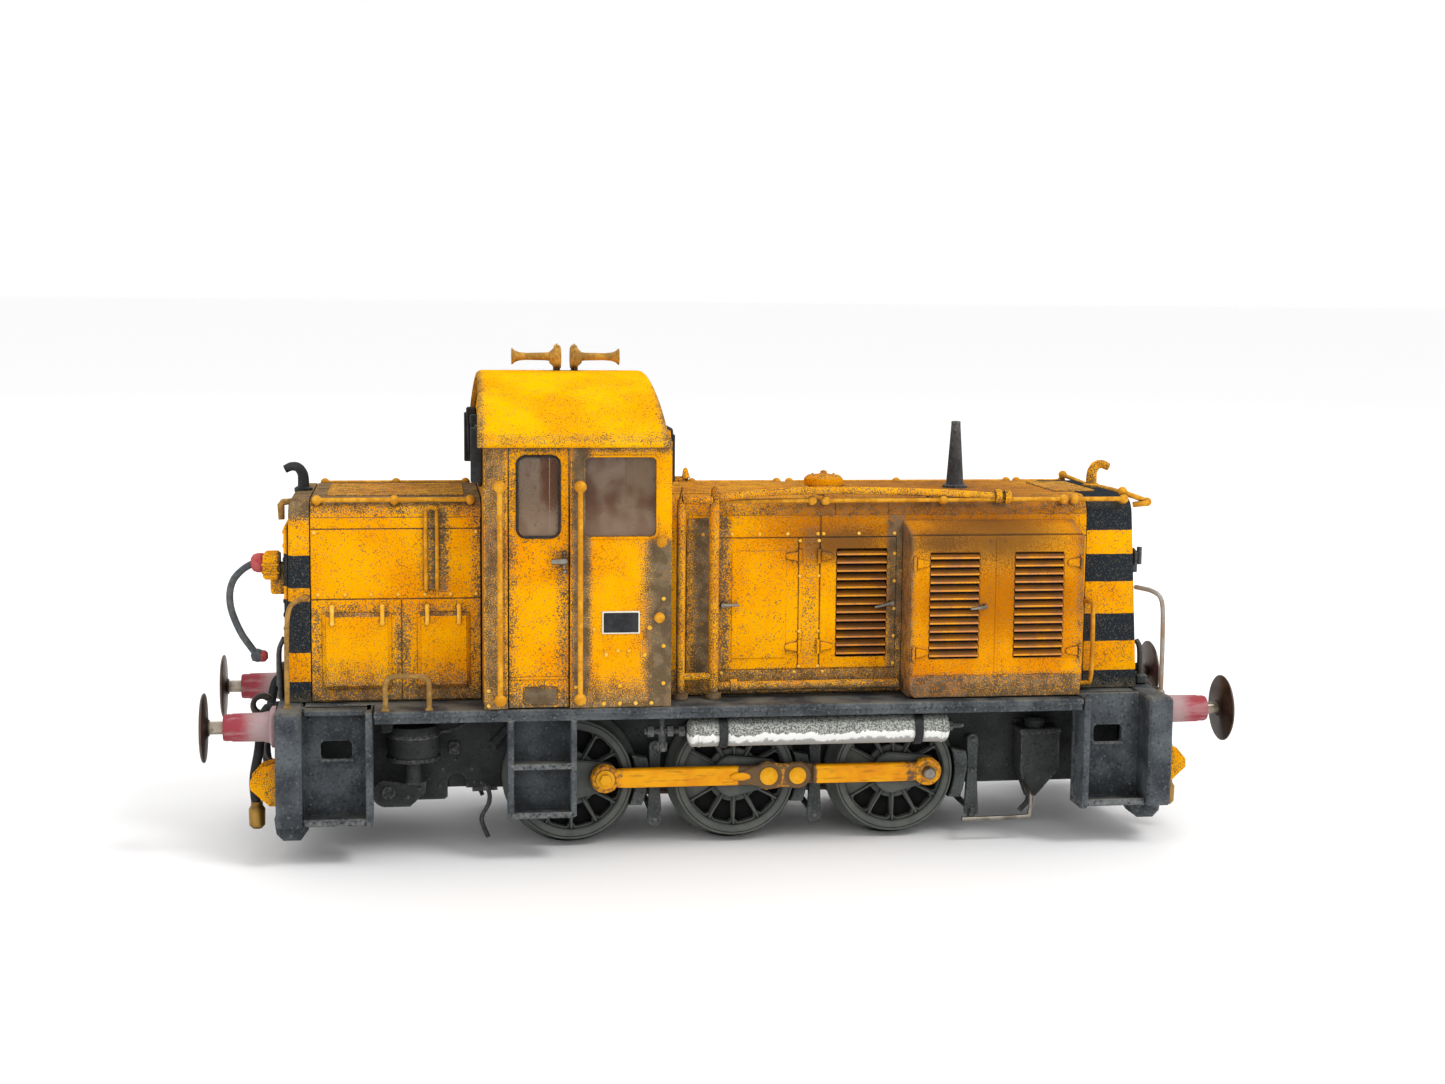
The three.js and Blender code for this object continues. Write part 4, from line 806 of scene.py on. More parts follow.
def buffer_beams():
    """The beams with their step pockets, feet, top fittings and yellow brackets."""
    near = []
    slot = rounded((38.7, 41.8), (10.4, 12.3), 0.45)
    wall = [(36.6, 4.3), (43.6, 4.3), (43.6, 15.7), (36.6, 15.7)]
    near.append(slab("y", wall, -12.8, -12.2, [slot], 0.05))
    near.append(plate("y", (38.5, 42.0), (10.2, 10.5), 0.12, -12.95, -12.7, 0.05, steps=2))
    near.append(box((36.6, 43.6), (-15.7, -12.2), (4.2, 4.7), 0.12))
    near.append(box((36.9, 43.5), (-15.75, -15.45), (4.3, 4.95), 0.08))
    flange = arc(-15.2, 4.7, 0.8, 180, 270, 5) + [(-11.7, 3.9), (-11.7, 15.7), (-16.1, 15.7)]
    near.append(slab("x", flange, 36.62, 37.3, edge=0.12))
    foot = [(42.9, 4.3), (43.1, 3.2), (43.9, 2.1), (45.6, 2.1), (46.3, 2.8), (46.5, 4.3)]
    near.append(slab("y", foot, -12.8, -8.6, edge=0.3))
    bolts = [(dy, dz) for dy in (-1.55, 1.55) for dz in (-1.55, 1.55)]
    near += [rivet((46.1, -BUFFER_Y + dy, BUFFER_Z + dz), "x", 1, 0.26) for dy, dz in bolts]
    near += [rivet((46.1, -y, 4.9), "x", 1, 0.2) for y in frange(1.5, 15.5, 2)]
    near += rivets(product((37.9, 42.9), (5.8, 9, 14.6)), -12.85, 0.16)
    both = near + flipped(near)
    face = rounded((-16.5, 16.5), (4.2, 15.8), 0.5, 3)
    both.append(slab("x", face, 43.55, 46.1, edge=0.22))
    both.append(plate("x", (-2.3, 2.3), (10.9, 15.2), 0.4, 46.05, 46.4, 0.1, steps=3))
    at_both_ends(piece, "buffer_beam", both, "frame", ["buffer_beam"])
    gear = [box((-46.3, -45.2), (-5.4, -1.6), (15.8, 18.6), 0.2),
            box((-46.6, -46.2), (-4.6, -3.4), (16.4, 19.3), 0.12)]
    gear += [tube([(-45.9, y, 15.8), (-46.1, y, 20.4), (-45.6, y, 22.0)], 0.24) for y in (-7.0, -8.2)]
    piece("beam_gear_short", gear, "brakes")
    stand = [box((44.6, 45.9), (-8.9, -7.4), (15.8, 16.9), 0.2),
             tube([(45.2, -8.2, 16.5), (45.1, -8.3, 19.6), (44.7, -8.2, 20.6)], 0.3),
             ball((45.3, -7.2, 17.4), 0.5)]
    piece("beam_gear_long", stand, "brakes")
    bracket = [(46.0, 10.3), (47.7, 9.8), (48.75, 8.6), (48.8, 7.7), (46.9, 5.9), (46.0, 5.9)]
    yellow = [slab("y", bracket, -13.5, -13.0, edge=0.1), slab("y", bracket, -10.8, -10.3, edge=0.1),
              box((46.0, 48.5), (-13.2, -10.6), (7.8, 8.3), 0.1),
              plate("x", (-13.5, -10.3), (6.0, 10.2), 0.3, 46.05, 46.35, 0.08, steps=3)]
    yellow += rivets(product([47.2], (7.2, 9.1)), -13.5, 0.18)
    at_both_ends(pair, "beam_bracket", yellow, "bracket")


def frame_core():
    """The block between the frames, with the slots and bays that hold the axles and the drive."""
    def slot(axle):
        x, half = AXLES[axle], 1.1
        return ([(x - half, 6), (x - half, AXLE_Z)] + arc(x, AXLE_Z, half, 160, 20, 5)
                + [(x + half, AXLE_Z), (x + half, 6)])

    left = [(-FRAME_END, 4.7), (-29.15, 4.7), (-29.15, 5.85), (-21.1, 5.85), (-21.1, 6)] + slot("front")
    right = slot("rear") + [(23.1, 6), (23.1, 5), (FRAME_END, 5), (FRAME_END, 14.4), (31.2, 14.4),
                            (31.2, 7.6), (23.1, 7.6), (23.1, 8.7), (5.8, 8.7)]
    outer = left + slot("middle") + right + [(5.8, 14.4), (-FRAME_END, 14.4)]
    inner = left + slot("middle") + right + [(-3.6, 8.9), (-3.6, 14.4), (-FRAME_END, 14.4)]
    shapes = []
    for side in (-1, 1):
        shapes.append(slab("y", outer, side * 4.4, side * 6.6))
        shapes.append(slab("y", inner, side * 1.7, side * 4.4))
    shapes.append(slab("y", left + [(-3.9, 6), (-3.9, 14.4), (-FRAME_END, 14.4)], -1.7, 1.7))
    shapes.append(slab("y", [(5.8, 6)] + right, -1.7, 1.7))
    shapes += [box(xs, (-5.5, 5.5), (12, 21.95)) for xs in ((-5.6, -3.7), (31.3, 34))]
    piece("frame_core", shapes, "chassis", replaces=["chassis_block"])


def frame_plates():
    """The riveted side frames behind the wheels, with their holes."""
    outline = ([(-FRAME_END, 4.65), (-29.4, 4.65), (-29.1, 4.95), (-29.1, 6.4)]
               + arc(-28.15, 6.4, 0.95, 180, 0, 10)[1:]
               + [(-27.2, 5.8), (-22.6, 5.8), (-22.0, 5.1), (FRAME_END, 5.1), (FRAME_END, 14.4),
                  (-FRAME_END, 14.4)])
    holes = [ring(x, AXLE_Z, 1.5, 24) for x in AXLES.values()]
    shapes = [slab("y", outline, -6.98, -6.65, holes, 0.06)]
    shapes += [rivet((x, -6.98, z), "y", -1, 0.15) for x in frange(-35, 35, 2.0) for z in (13.6, 6.9)
               if not (z < 7 and (-30.5 < x < -24 or any(abs(x - a) < 2.2 for a in AXLES.values())))]
    shapes.append(plate("y", (-29.0, -27.8), (9.4, 10.8), 0.25, -7.25, -6.9, 0.1))
    shapes.append(rivet((-28.4, -7.25, 10.1), "y", -1, 0.35))
    shapes += rivets(((-29.6, 7.9), (-26.6, 7.8), (-29.9, 6.1), (-26.3, 6.4), (-28.2, 8.9)), -6.98, 0.2)
    shapes.append(slab("y", [(-24.8, 10.6), (-22.9, 12.6), (-22.5, 12.2), (-24.2, 9.8)], -7.5, -6.9,
                       edge=0.1))
    pair("frame_plate", shapes, "chassis")


def brake_gear():
    """Hangers and blocks at the wheels, joined by cross rods and a pull rod."""
    shapes = []
    for x in BRAKE_X:
        for side in (-1, 1):
            outline = (arc(x, 10.2, 0.62, 0, 180, 8) + [(x - 0.6, 6.6)]
                       + arc(x, 2.45, 0.75, 180, 360, 8) + [(x + 0.5, 6.6)])
            shapes.append(slab("y", outline, side * 8.5, side * 9.1, edge=0.08))
            wheel_x = x - HANGER_AHEAD
            block = (arc(wheel_x, AXLE_Z, 6.75, -26, 20, 8) + arc(wheel_x, AXLE_Z, 8.2, 14, 4, 3)
                     + arc(wheel_x, AXLE_Z, 8.0, -8, -22, 4))
            shapes.append(slab("y", block, side * 8.3, side * 9.65, edge=0.12))
            for z in (10.2, 6.9, 2.45):
                shapes.append(rivet((x, side * 9.1, z), "y", side, 0.3))
            shapes.append(bar((x, side * 6.9, 10.2), (x, side * 8.6, 10.2), 0.3))
        shapes.append(bar((x, -8.7, 2.5), (x, 8.7, 2.5), 0.32))
    pull_rod = (3.5, 2.6)
    shapes.append(bar((BRAKE_X[0], *pull_rod), (BRAKE_X[-1], *pull_rod), 0.3))
    for x in (-1.9, 15.2):
        shapes.append(drum("x", 0.5, x - 0.8, x + 0.8, (0, *pull_rod), 6))
    piece("brake_gear", shapes, "brakes", replaces=["brake_rigging"])


def air_tanks():
    """A silver tank under the deck, its straps and the pipes at its ends."""
    y, z, r = -14.15, 12.75, 1.53
    dished = [(r * math.sin(math.radians(a)), 0.55 * math.cos(math.radians(a)))
              for a in (0, 25, 45, 65, 80, 90)]
    dished[0] = (0, dished[0][1])
    seams = [(r, -3.9), (r + 0.06, -3.85), (r + 0.06, -3.6), (r, -3.55),
             (r, 21.5), (r + 0.06, 21.55), (r + 0.06, 21.8), (r, 21.85)]
    profile = [(rr, -4.4 - h) for rr, h in dished] + seams + [(rr, 22.0 + h) for rr, h in dished[::-1]]
    pair("air_tank_shell", [turned("x", profile, (0, y, z), 36)], "tank", replaces=["air_tank_{side}"])
    straps = []
    for x in (-1.3, 19.1):
        straps.append(slab("x", ring(y, z, r + 0.2), x - 0.42, x + 0.42, [ring(y, z, r + 0.01)], 0.05))
        straps.append(box((x - 0.35, x + 0.35), (y - 0.4, y + 0.5), (z + r, 15.0), 0.06))
        straps.append(rivet((x, y - 1.35, z + 1.05), "y", -1, 0.18))
    pair("air_tank_strap", straps, "black")
    pipes = [bar((22.3, y, 12.9), (24.1, y, 12.9), (0.42, 0.25)),
             drum("x", 0.6, 22.4, 22.9, (0, y, 12.9), 6),
             bar((-4.6, y + 0.6, 12.8), (-9.2, y + 0.6, 12.8), 0.36),
             bar((-7.4, y + 0.6, 12.9), (-7.4, y + 0.6, 10.9), 0.42),
             bar((-7.4, y + 0.6, 12.8), (-7.4, y + 0.6, 14.8), 0.3)]
    pipes += [drum("x", 0.62, x - 0.3, x + 0.3, (0, y + 0.6, 12.8), 6) for x in (-5.4, -6.6, -8.6)]
    pipes.append(turned("z", [(0, 10.7), (0.5, 10.7), (0.55, 11.6), (0, 11.6)], (-7.4, y + 0.6, 0), 6))
    pair("air_tank_pipe", pipes, "brakes")


def cab_steps():
    """Two treads between two cheeks under the cab door."""
    shapes = [box((x, x + 0.6), (-15.95, -13.0), (4.6, 14.8), 0.14) for x in (-23.2, -16.9)]
    shapes.append(box((-22.8, -16.7), (-13.5, -13.05), (4.7, 14.8), 0.05))
    for z in (4.6, 9.6):
        shapes.append(box((-22.9, -16.6), (-15.9, -13.2), (z, z + 0.42), 0.1))
        shapes.append(box((-22.9, -16.6), (-16.0, -15.7), (z - 0.05, z + 0.55), 0.08))
    pair("cab_step", shapes, "frame", replaces=["cab_steps_{side}"])


def underframe_fittings():
    """The brake cylinder, sandboxes, sand pipes and wire steps hung on the frame."""
    x, y = -32.6, -9.4
    cylinder = [(0, 9.2), (1.2, 9.2), (2.3, 9.5), (2.8, 9.6), (2.8, 9.95), (2.6, 10.0), (2.6, 12.6),
                (2.3, 13.1), (0, 13.2)]
    crank = arc(-35.4, 6.0, 1.45, 100, 262, 10) + [(-33.0, 4.55), (-31.4, 6.0), (-31.3, 7.2),
                                                   (-33.4, 7.0)]
    shapes = [turned("z", cylinder, (x, y, 0), 36), drum("z", 0.8, 7.0, 9.3, (x, y, 0), 16),
              drum("z", 2.66, 12.0, 12.2, (x, y, 0), 36), slab("y", crank, -9.6, -9.1, edge=0.1),
              slab("y", ring(-35.2, 6.1, 0.7, 24), -9.85, -9.5, edge=0.12),
              box((-35.9, -34.6), (-10.6, -8.6), (12.5, 13.9), 0.12),
              tube([(-30.0, -9, 12.2), (-28.4, -8.4, 12.4), (-26.6, -7.6, 13.2), (-26.0, -7.4, 14.4)],
                   0.22)]
    shapes += rivets(((-32.0, 6.5), (-33.2, 5.6)), -9.6, 0.2)
    shapes += [rivet((px, py, 9.95), "z", 1, 0.14) for px, py in ring(x, y, 2.68, 8)]
    pair("brake_cylinder", shapes, "chassis")
    low = [(31.6, -10.2), (35.8, -10.2), (35.8, -7.2), (31.6, -7.2)]
    rings = [[(x, y, z) for x, y in low] for z in (11.1, 7.0)]
    rings.append([(33.1 + 0.25 * (x - 33.7), -8.7 + 0.3 * (y + 8.7), 3.9) for x, y in low])
    lid = [(0, 11.4), (1.1, 11.4), (1.1, 12.2), (0.8, 12.5), (0, 12.5)]
    sand = [loft(rings), box((31.4, 36.0), (-10.4, -7.0), (11.0, 11.5), 0.12),
            turned("z", lid, (33.4, -8.8, 0), 20),
            tube([(33.0, -8.7, 4.2), (32.8, -8.8, 3.2), (31.9, -8.9, 2.3)], 0.28),
            box((31.6, 35.8), (-7.4, -6.8), (10.2, 12), 0.08)]
    pair("sandbox", sand, "chassis")
    wire = [tube([(24.6, -12.6, 2.45), (31.2, -12.6, 2.55), (32.0, -12.5, 3.0), (32.2, -12.0, 4.6),
                  (32.0, -10.2, 5.6)], 0.24),
            tube([(25.4, -12.6, 2.5), (25.6, -11.5, 2.5), (26.4, -9.2, 2.5)], 0.2)]
    pair("wire_step", wire, "steel")
    pipe = [tube([(-25.6, -8.0, 6.6), (-24.9, -8.8, 5.8), (-24.9, -9.2, 4.7), (-25.6, -9.3, 3.4),
                  (-25.6, -9.3, 2.6), (-25.0, -9.3, 1.1)], 0.24),
            bar((-26.6, -8.4, 6.0), (-24.0, -8.4, 6.1), 0.26)]
    pair("sand_pipe", pipe, "chassis")


# ---- wheels, rods and drive ----------------------------------------------------------------------
def wheel_hole(middle, low, high):
    """One round-cornered wedge between two spokes."""
    spread_in, spread_out = 10.0, 13.0
    shoulders = arc(0, 0, high - 0.35, middle - spread_out, middle + spread_out, 1)
    return (arc(0, 0, low, middle - spread_in, middle + spread_in, 3) + [shoulders[1]]
            + arc(0, 0, high, middle + spread_out - 3.5, middle - spread_out + 3.5, 4) + [shoulders[0]])


# how a crank pin ends: (radius, how far outside the rod) and the number of sides
PIN_TAILS = {
    "nut": [([(0, 0.06), (0.98, 0.06), (0.98, 0.3), (0.7, 0.36), (0, 0.36)], 28),
            ([(0, 0.3), (0.66, 0.3), (0.62, 0.62), (0, 0.66)], 6)],
    "dome": [([(0, 0.06), (0.95, 0.06), (0.95, 0.35), (0.65, 0.6), (0, 0.66)], 28)],
    "stub": [([(0, 0), (0.62, 0), (0.62, 1.0), (0.5, 1.12), (0, 1.15)], 24)],
}


def wheel_shapes(crank, tail):
    """A spoked wheel on the near side, centred on its axle: its centre, its rim and its crank pin."""
    rest = math.degrees(CRANK["near"])
    angles = [15 + 30 * i - rest for i in range(12)]
    holes = [wheel_hole(a, 2.85, 5.15) for a in angles if abs(a - 180) > 20]
    disc = slab("y", ring(0, 0, 5.5, 72), -9.45, -8.0, holes, 0.12)
    spokes = [spun(box((1.9, 5.3), (-9.75, -9.3), (-0.1, 0.1), 0.04), -30 * i + rest, (0, 0, 0))
              for i in range(1, 12) if i != 6]
    web = slab("y", arc(THROW, 0, 1.5, -80, 80, 12) + arc(0, 0, 2.25, 100, 260, 20), -10.28, -8.7,
               edge=0.18)
    hub = turned("y", [(0, -7.3), (1.9, -7.3), (1.9, -9.9), (1.75, -10.05), (1.15, -10.1), (1.1, -10.2),
                       (1.0, -10.28), (0, -10.22)], sides=32)
    disc_part = [disc, web, hub] + spokes
    rim = turned("y", [(5.35, -8.3), (5.35, -9.85), (5.5, -10.0), (6.0, -10.02), (6.06, -9.93),
                       (6.12, -10.02), (6.3, -9.98), (6.38, -9.8), (6.42, -8.4), (6.6, -8.1),
                       (6.98, -7.85), (7.1, -7.6), (7.1, -7.4), (6.95, -7.25), (5.5, -7.25),
                       (5.35, -8.3)], sides=96)
    pin = [drum("y", 0.5, -9, -ROD_OUT - 0.1, (THROW, 0, 0), 20)]
    for profile, sides in PIN_TAILS[tail]:
        pin.append(turned("y", [(r, -ROD_OUT - out) for r, out in profile], (THROW, 0, 0), sides))
    turn = -math.degrees(crank)
    return ([spun(s, turn, (0, 0, 0)) for s in disc_part], [rim],
            [spun(s, turn, (0, 0, 0)) for s in pin])


def wheels():
    """The six wheels, each with a dark web behind its spokes: partly a closed back, partly painted shade
    seen through the openings.
    """
    for (name, x), tail in zip(AXLES.items(), ("nut", "dome", "stub")):
        body = f"{name}_wheelset"
        at = (x, 0, AXLE_Z)
        for side in ("near", "far"):
            centre, rim, pin = wheel_shapes(CRANK[side], tail)
            # The web is painted near black as the shade behind the spokes.
            web = [slab("y", ring(0, 0, 5.45, 48), -8.35, -7.85)]
            if side == "far":
                centre, rim, pin, web = (flipped(shapes) for shapes in (centre, rim, pin, web))
            piece(f"wheel_centre_{name}_{side}", [moved(s, at) for s in centre], "wheel", body,
                  [f"wheel_{name}_{side}"])
            piece(f"wheel_back_{name}_{side}", [moved(s, at) for s in web], "recess", body)
            piece(f"wheel_tyre_{name}_{side}", [moved(s, at) for s in rim], "wheel", body)
            look = "steel" if tail == "stub" else "bolts"
            piece(f"crank_pin_{name}_{side}", [moved(s, at) for s in pin], look, body)


def rods():
    """Two rods on each side, the rear one held in a fork ahead of the middle pin."""
    for side in ("near", "far"):
        angle = CRANK[side]
        at = (AXLES["middle"] + THROW * math.cos(angle), 0, AXLE_Z + THROW * math.sin(angle))
        bar_half, eye = 0.98, 1.5
        underside = [(-WHEELBASE + 2.6, -bar_half), (-1.6, -bar_half)] + arc(0, 0, 1.4, 225, 300, 6)
        front = arc(-WHEELBASE, 0, eye, 38, 322, 20) + underside + [(1.0, -1.2), (1.0, 1.2)]
        front += [(x, -z) for x, z in reversed(underside)]
        holes = [ring(-WHEELBASE, 0, 0.57, 20), ring(0, 0, 0.57, 20)]
        shapes = [slab("y", front, -ROD_IN - 0.45, -ROD_IN, holes, 0.08),
                  slab("y", front, -ROD_OUT, -ROD_IN - 0.44, holes, 0.14)]
        boss = ring(-WHEELBASE, 0, 1.38, 32)
        shapes.append(slab("y", boss, -ROD_OUT - 0.12, -ROD_OUT + 0.1, [holes[0]], 0.08))
        fork = ([(-4.1, 0), (-3.8, -0.3), (-2.9, -0.5), (-1.9, -0.95)] + arc(0, 0, 1.5, 228, 262, 5)
                + [(1.5, -1.22)] + arc(KNUCKLE, 0, 1.42, 278, 442, 14) + [(1.5, 1.22)]
                + arc(0, 0, 1.5, 98, 132, 5) + [(-1.9, 0.95), (-2.9, 0.5), (-3.8, 0.3)])
        shapes.append(slab("y", fork, -ROD_OUT - 0.25, -ROD_OUT + 0.42, [holes[1]], 0.14))
        bolt = moved(turned("y", [(0, -ROD_IN), (0.4, -ROD_IN), (0.4, -ROD_OUT - 0.1),
                                  (0.9, -ROD_OUT - 0.12), (0.9, -ROD_OUT - 0.4), (0.62, -ROD_OUT - 0.6),
                                  (0, -ROD_OUT - 0.66)], (KNUCKLE, 0, 0), 24), at)
        rear = ([(KNUCKLE + 1.75, -bar_half), (WHEELBASE - 2.6, -bar_half)]
                + arc(WHEELBASE, 0, eye, 218, 502, 20)
                + [(WHEELBASE - 2.6, bar_half), (KNUCKLE + 1.75, bar_half)])
        pin_hole = ring(WHEELBASE, 0, 0.57, 20)
        back = [slab("y", rear, -ROD_OUT, -ROD_IN, [pin_hole], 0.14),
                slab("y", arc(KNUCKLE, 0, 1.15, 90, 270, 10)
                     + [(KNUCKLE + 2, -bar_half), (KNUCKLE + 2, bar_half)], -ROD_IN - 0.38, -ROD_IN,
                     [ring(KNUCKLE, 0, 0.46, 16)], 0.05),
                slab("y", ring(WHEELBASE, 0, 1.38, 32), -ROD_OUT - 0.12, -ROD_OUT + 0.1, [pin_hole],
                     0.08)]
        shapes, back = ([moved(s, at) for s in group] for group in (shapes, back))
        if side == "far":
            shapes, back, bolt = flipped(shapes), flipped(back), flipped([bolt])[0]
        piece(f"rod_front_{side}", shapes, "rods", f"{side}_rods", [f"coupling_rod_front_{side}"])
        piece(f"rod_knuckle_pin_{side}", [bolt], "bolts", f"{side}_rods")
        piece(f"rod_rear_{side}", back, "rods", f"{side}_rods", [f"coupling_rod_rear_{side}"])


# ---- buffers, hooks and hoses --------------------------------------------------------------------
def buffers():
    """Stepped stocks, and the heads and stems that slide in them."""
    stock = [(0.78, 51.3), (0.9, 51.42), (1.28, 51.42), (1.36, 51.2), (1.36, 50.6), (1.42, 50.5),
             (1.46, 47.6), (1.6, 46.9), (2.1, 46.6), (2.1, 46.2), (0, 46.2), (0, 46.6), (0.78, 46.6),
             (0.78, 51.3)]
    head = [(0, 53.6), (3.1, 53.57), (3.36, 53.5), (3.5, 53.38), (3.5, 53.28), (3.4, 53.2), (1.2, 53.12),
            (0.85, 52.9), (0.85, 52.8), (0, 52.8)]
    stem = [(0, 53.0), (0.66, 53.0), (0.66, 48.1), (0, 48.1)]
    for end, sign in (("long_end", 1), ("short_end", -1)):
        for side, y in (("near", -BUFFER_Y), ("far", BUFFER_Y)):
            node, at = f"{end}_{side}", (0, y, BUFFER_Z)
            casing, disc, rod = (turned("x", [(r, sign * x) for r, x in profile], at, sides)
                                 for profile, sides in ((stock, 40), (head, 64), (stem, 24)))
            piece(f"buffer_casing_{node}", [casing], "stock", replaces=[f"buffer_stock_{node}"])
            piece(f"buffer_disc_{node}", [disc], "buffer", f"buffer_{node}", [f"buffer_head_{node}"])
            piece(f"buffer_rod_{node}", [rod], "stem", f"buffer_{node}")


def hooks():
    """The draw hooks, each with its link."""
    outer, inner = arc(48.3, 13.6, 1.35, -90, 140, 16), arc(48.45, 13.7, 0.62, 140, -90, 12)
    shapes = [slab("y", [(46.3, 12.3), (48.3, 12.25)] + outer[1:] + inner + [(46.3, 13.1)], -0.38, 0.38,
                   edge=0.16)]
    shapes.append(turned("x", [(0, 46.3), (0.75, 46.3), (0.75, 46.75), (0.6, 46.9), (0, 46.9)],
                         (0, 0, 12.7), 6))
    links = [tube([(47.2, -0.7, 12.4), (47.5, -0.8, 11.2), (47.5, -0.6, 9.9), (47.5, 0.6, 9.9),
                   (47.5, 0.8, 11.2), (47.2, 0.7, 12.4)], 0.24),
             tube([(47.5, 0, 10.3), (48.0, 0, 9.6), (48.0, 0, 8.2), (47.2, 0, 7.6), (46.9, 0, 8.4),
                   (47.0, 0, 9.8), (47.5, 0, 10.3)], 0.22)]
    shapes += links
    at_both_ends(piece, "coupling_hook", shapes, "hook", ["draw_hook"])


def brake_hoses():
    """A brake hose with a brass end hangs inboard of each buffer."""
    hose = [tube([(46.3, -8.2, 14.6), (47.3, -8.3, 14.9), (47.9, -8.4, 13.2), (48.2, -8.6, 10.6),
                  (48.7, -8.8, 7.6), (48.5, -8.9, 4.9)], 0.5, 12),
            turned("x", [(0, 46.1), (0.9, 46.1), (0.9, 46.5), (0.55, 46.6), (0.55, 47.2), (0, 47.2)],
                   (0, -8.2, 14.7), 16)]
    tip = [turned("z", [(0, 2.6), (0.5, 2.62), (0.8, 2.95), (0.85, 4.6), (0.6, 5.0), (0.6, 5.4),
                        (0, 5.4)], (48.45, -8.9, 0), 18)]
    at_both_ends(pair, "brake_hose", hose, "black")
    at_both_ends(pair, "brake_hose_end", tip, "brass")


def jumper():
    """The jumper box on the short nose and its hose."""
    y = -6.2
    cover = [box((-47.6, -45.9), (y - 1.5, y + 1.5), (28.0, 30.7), 0.25),
             box((-46.9, -45.3), (y - 0.7, y + 0.7), (26.4, 28.2), 0.2),
             box((-46.0, -45.1), (y - 0.9, y + 0.9), (27.4, 29.6), 0.1)]
    cover += [box((-47.7, -45.9), (y - 1.62, y - 1.4), (z, z + 0.3), 0.08) for z in (28.6, 29.4)]
    piece("jumper_cover", cover, "bracket", replaces=["jumper_box"])
    cap = [turned("x", [(0, -48.9), (0.5, -48.85), (0.85, -48.6), (1.0, -48.2), (1.0, -47.6),
                        (0, -47.6)], (0, y, 29.6), 24)]
    cap.append(turned("z", [(0, -0.5), (0.35, -0.5), (0.62, -0.2), (0.62, 0.35), (0.4, 0.6), (0, 0.65)],
                      (-47.9, y, 19.9), 20))
    piece("jumper_cap", cap, "red")
    path = [(-48.75, y, 29.5), (-49.7, y, 28.9), (-50.6, y, 27.9), (-51.0, y, 26.6), (-50.95, y, 25.1),
            (-50.5, y, 23.6), (-49.8, y, 22.1), (-49.0, y, 20.9), (-48.5, y, 20.2)]
    bulge = [(0, -0.7), (0.6, -0.5), (0.75, 0), (0.6, 0.5), (0, 0.75)]
    lead = [tube(path, 0.36, 14, 6), turned("z", bulge, (-48.3, y, 20.0), 20)]
    piece("jumper_lead", lead, "hose", replaces=["jumper_hose"])


# ---- bonnets -------------------------------------------------------------------------------------
def bonnet_outline(grow=0.0, bottom=BONNET_FOOT):
    """The bonnets' round-shouldered section, as (y, z)."""
    w, h, r = SIDE + grow, TOP + grow, SHOULDER + grow
    right, left = arc(w - r, h - r, r, 0, 90, 10), arc(-w + r, h - r, r, 90, 180, 10)
    return [(-w, bottom), (w, bottom)] + right + left


def bonnet_shell(x0, x1, gap=None):
    """An open-bottomed shell from x0 to x1. A gap is a range of z where its sides are left out."""
    bottom = gap[1] if gap else BONNET_FOOT
    outer, inner = bonnet_outline(0, bottom), bonnet_outline(-0.9, bottom)
    outer, inner = outer[1:] + outer[:1], inner[1:] + inner[:1]
    shapes = [slab("x", outer + list(reversed(inner)), x0, x1, edge=0.01 if gap else 0.08)]
    if gap:
        shapes += [box((x0, x1), (side * SIDE, side * (SIDE - 0.9)), (BONNET_FOOT, gap[0]), 0.01)
                   for side in (-1, 1)]
    return shapes


def skin(xs, zs, proud=0.12, edge=0.05, corner=0.0):
    """A panel on the near side of a bonnet."""
    square = [(xs[0], zs[0]), (xs[1], zs[0]), (xs[1], zs[1]), (xs[0], zs[1])]
    outline = rounded(xs, zs, corner, 3) if corner else square
    return slab("y", outline, -SIDE - proud, -SIDE + 0.2, edge=edge)


def handrail(points, knobs, radius=0.24, knob=0.5):
    """A rail with round knobs, each on a short stalk back to (y, z)."""
    shapes = [tube(points, radius, 10, 1)]
    for at, foot in knobs:
        shapes.append(ball(at, knob))
        shapes.append(tube([at, foot], (radius * 1.1, radius * 1.5), 8, 1))
    return shapes


def top_rail(xs, y=-10.1, z=36.35):
    """A rail along a bonnet's shoulder, with knobs at xs."""
    knobs = [((x, y, z), (x, -9.3, 35.6)) for x in xs]
    return handrail([(xs[0], y, z), (xs[-1], y, z)], knobs)


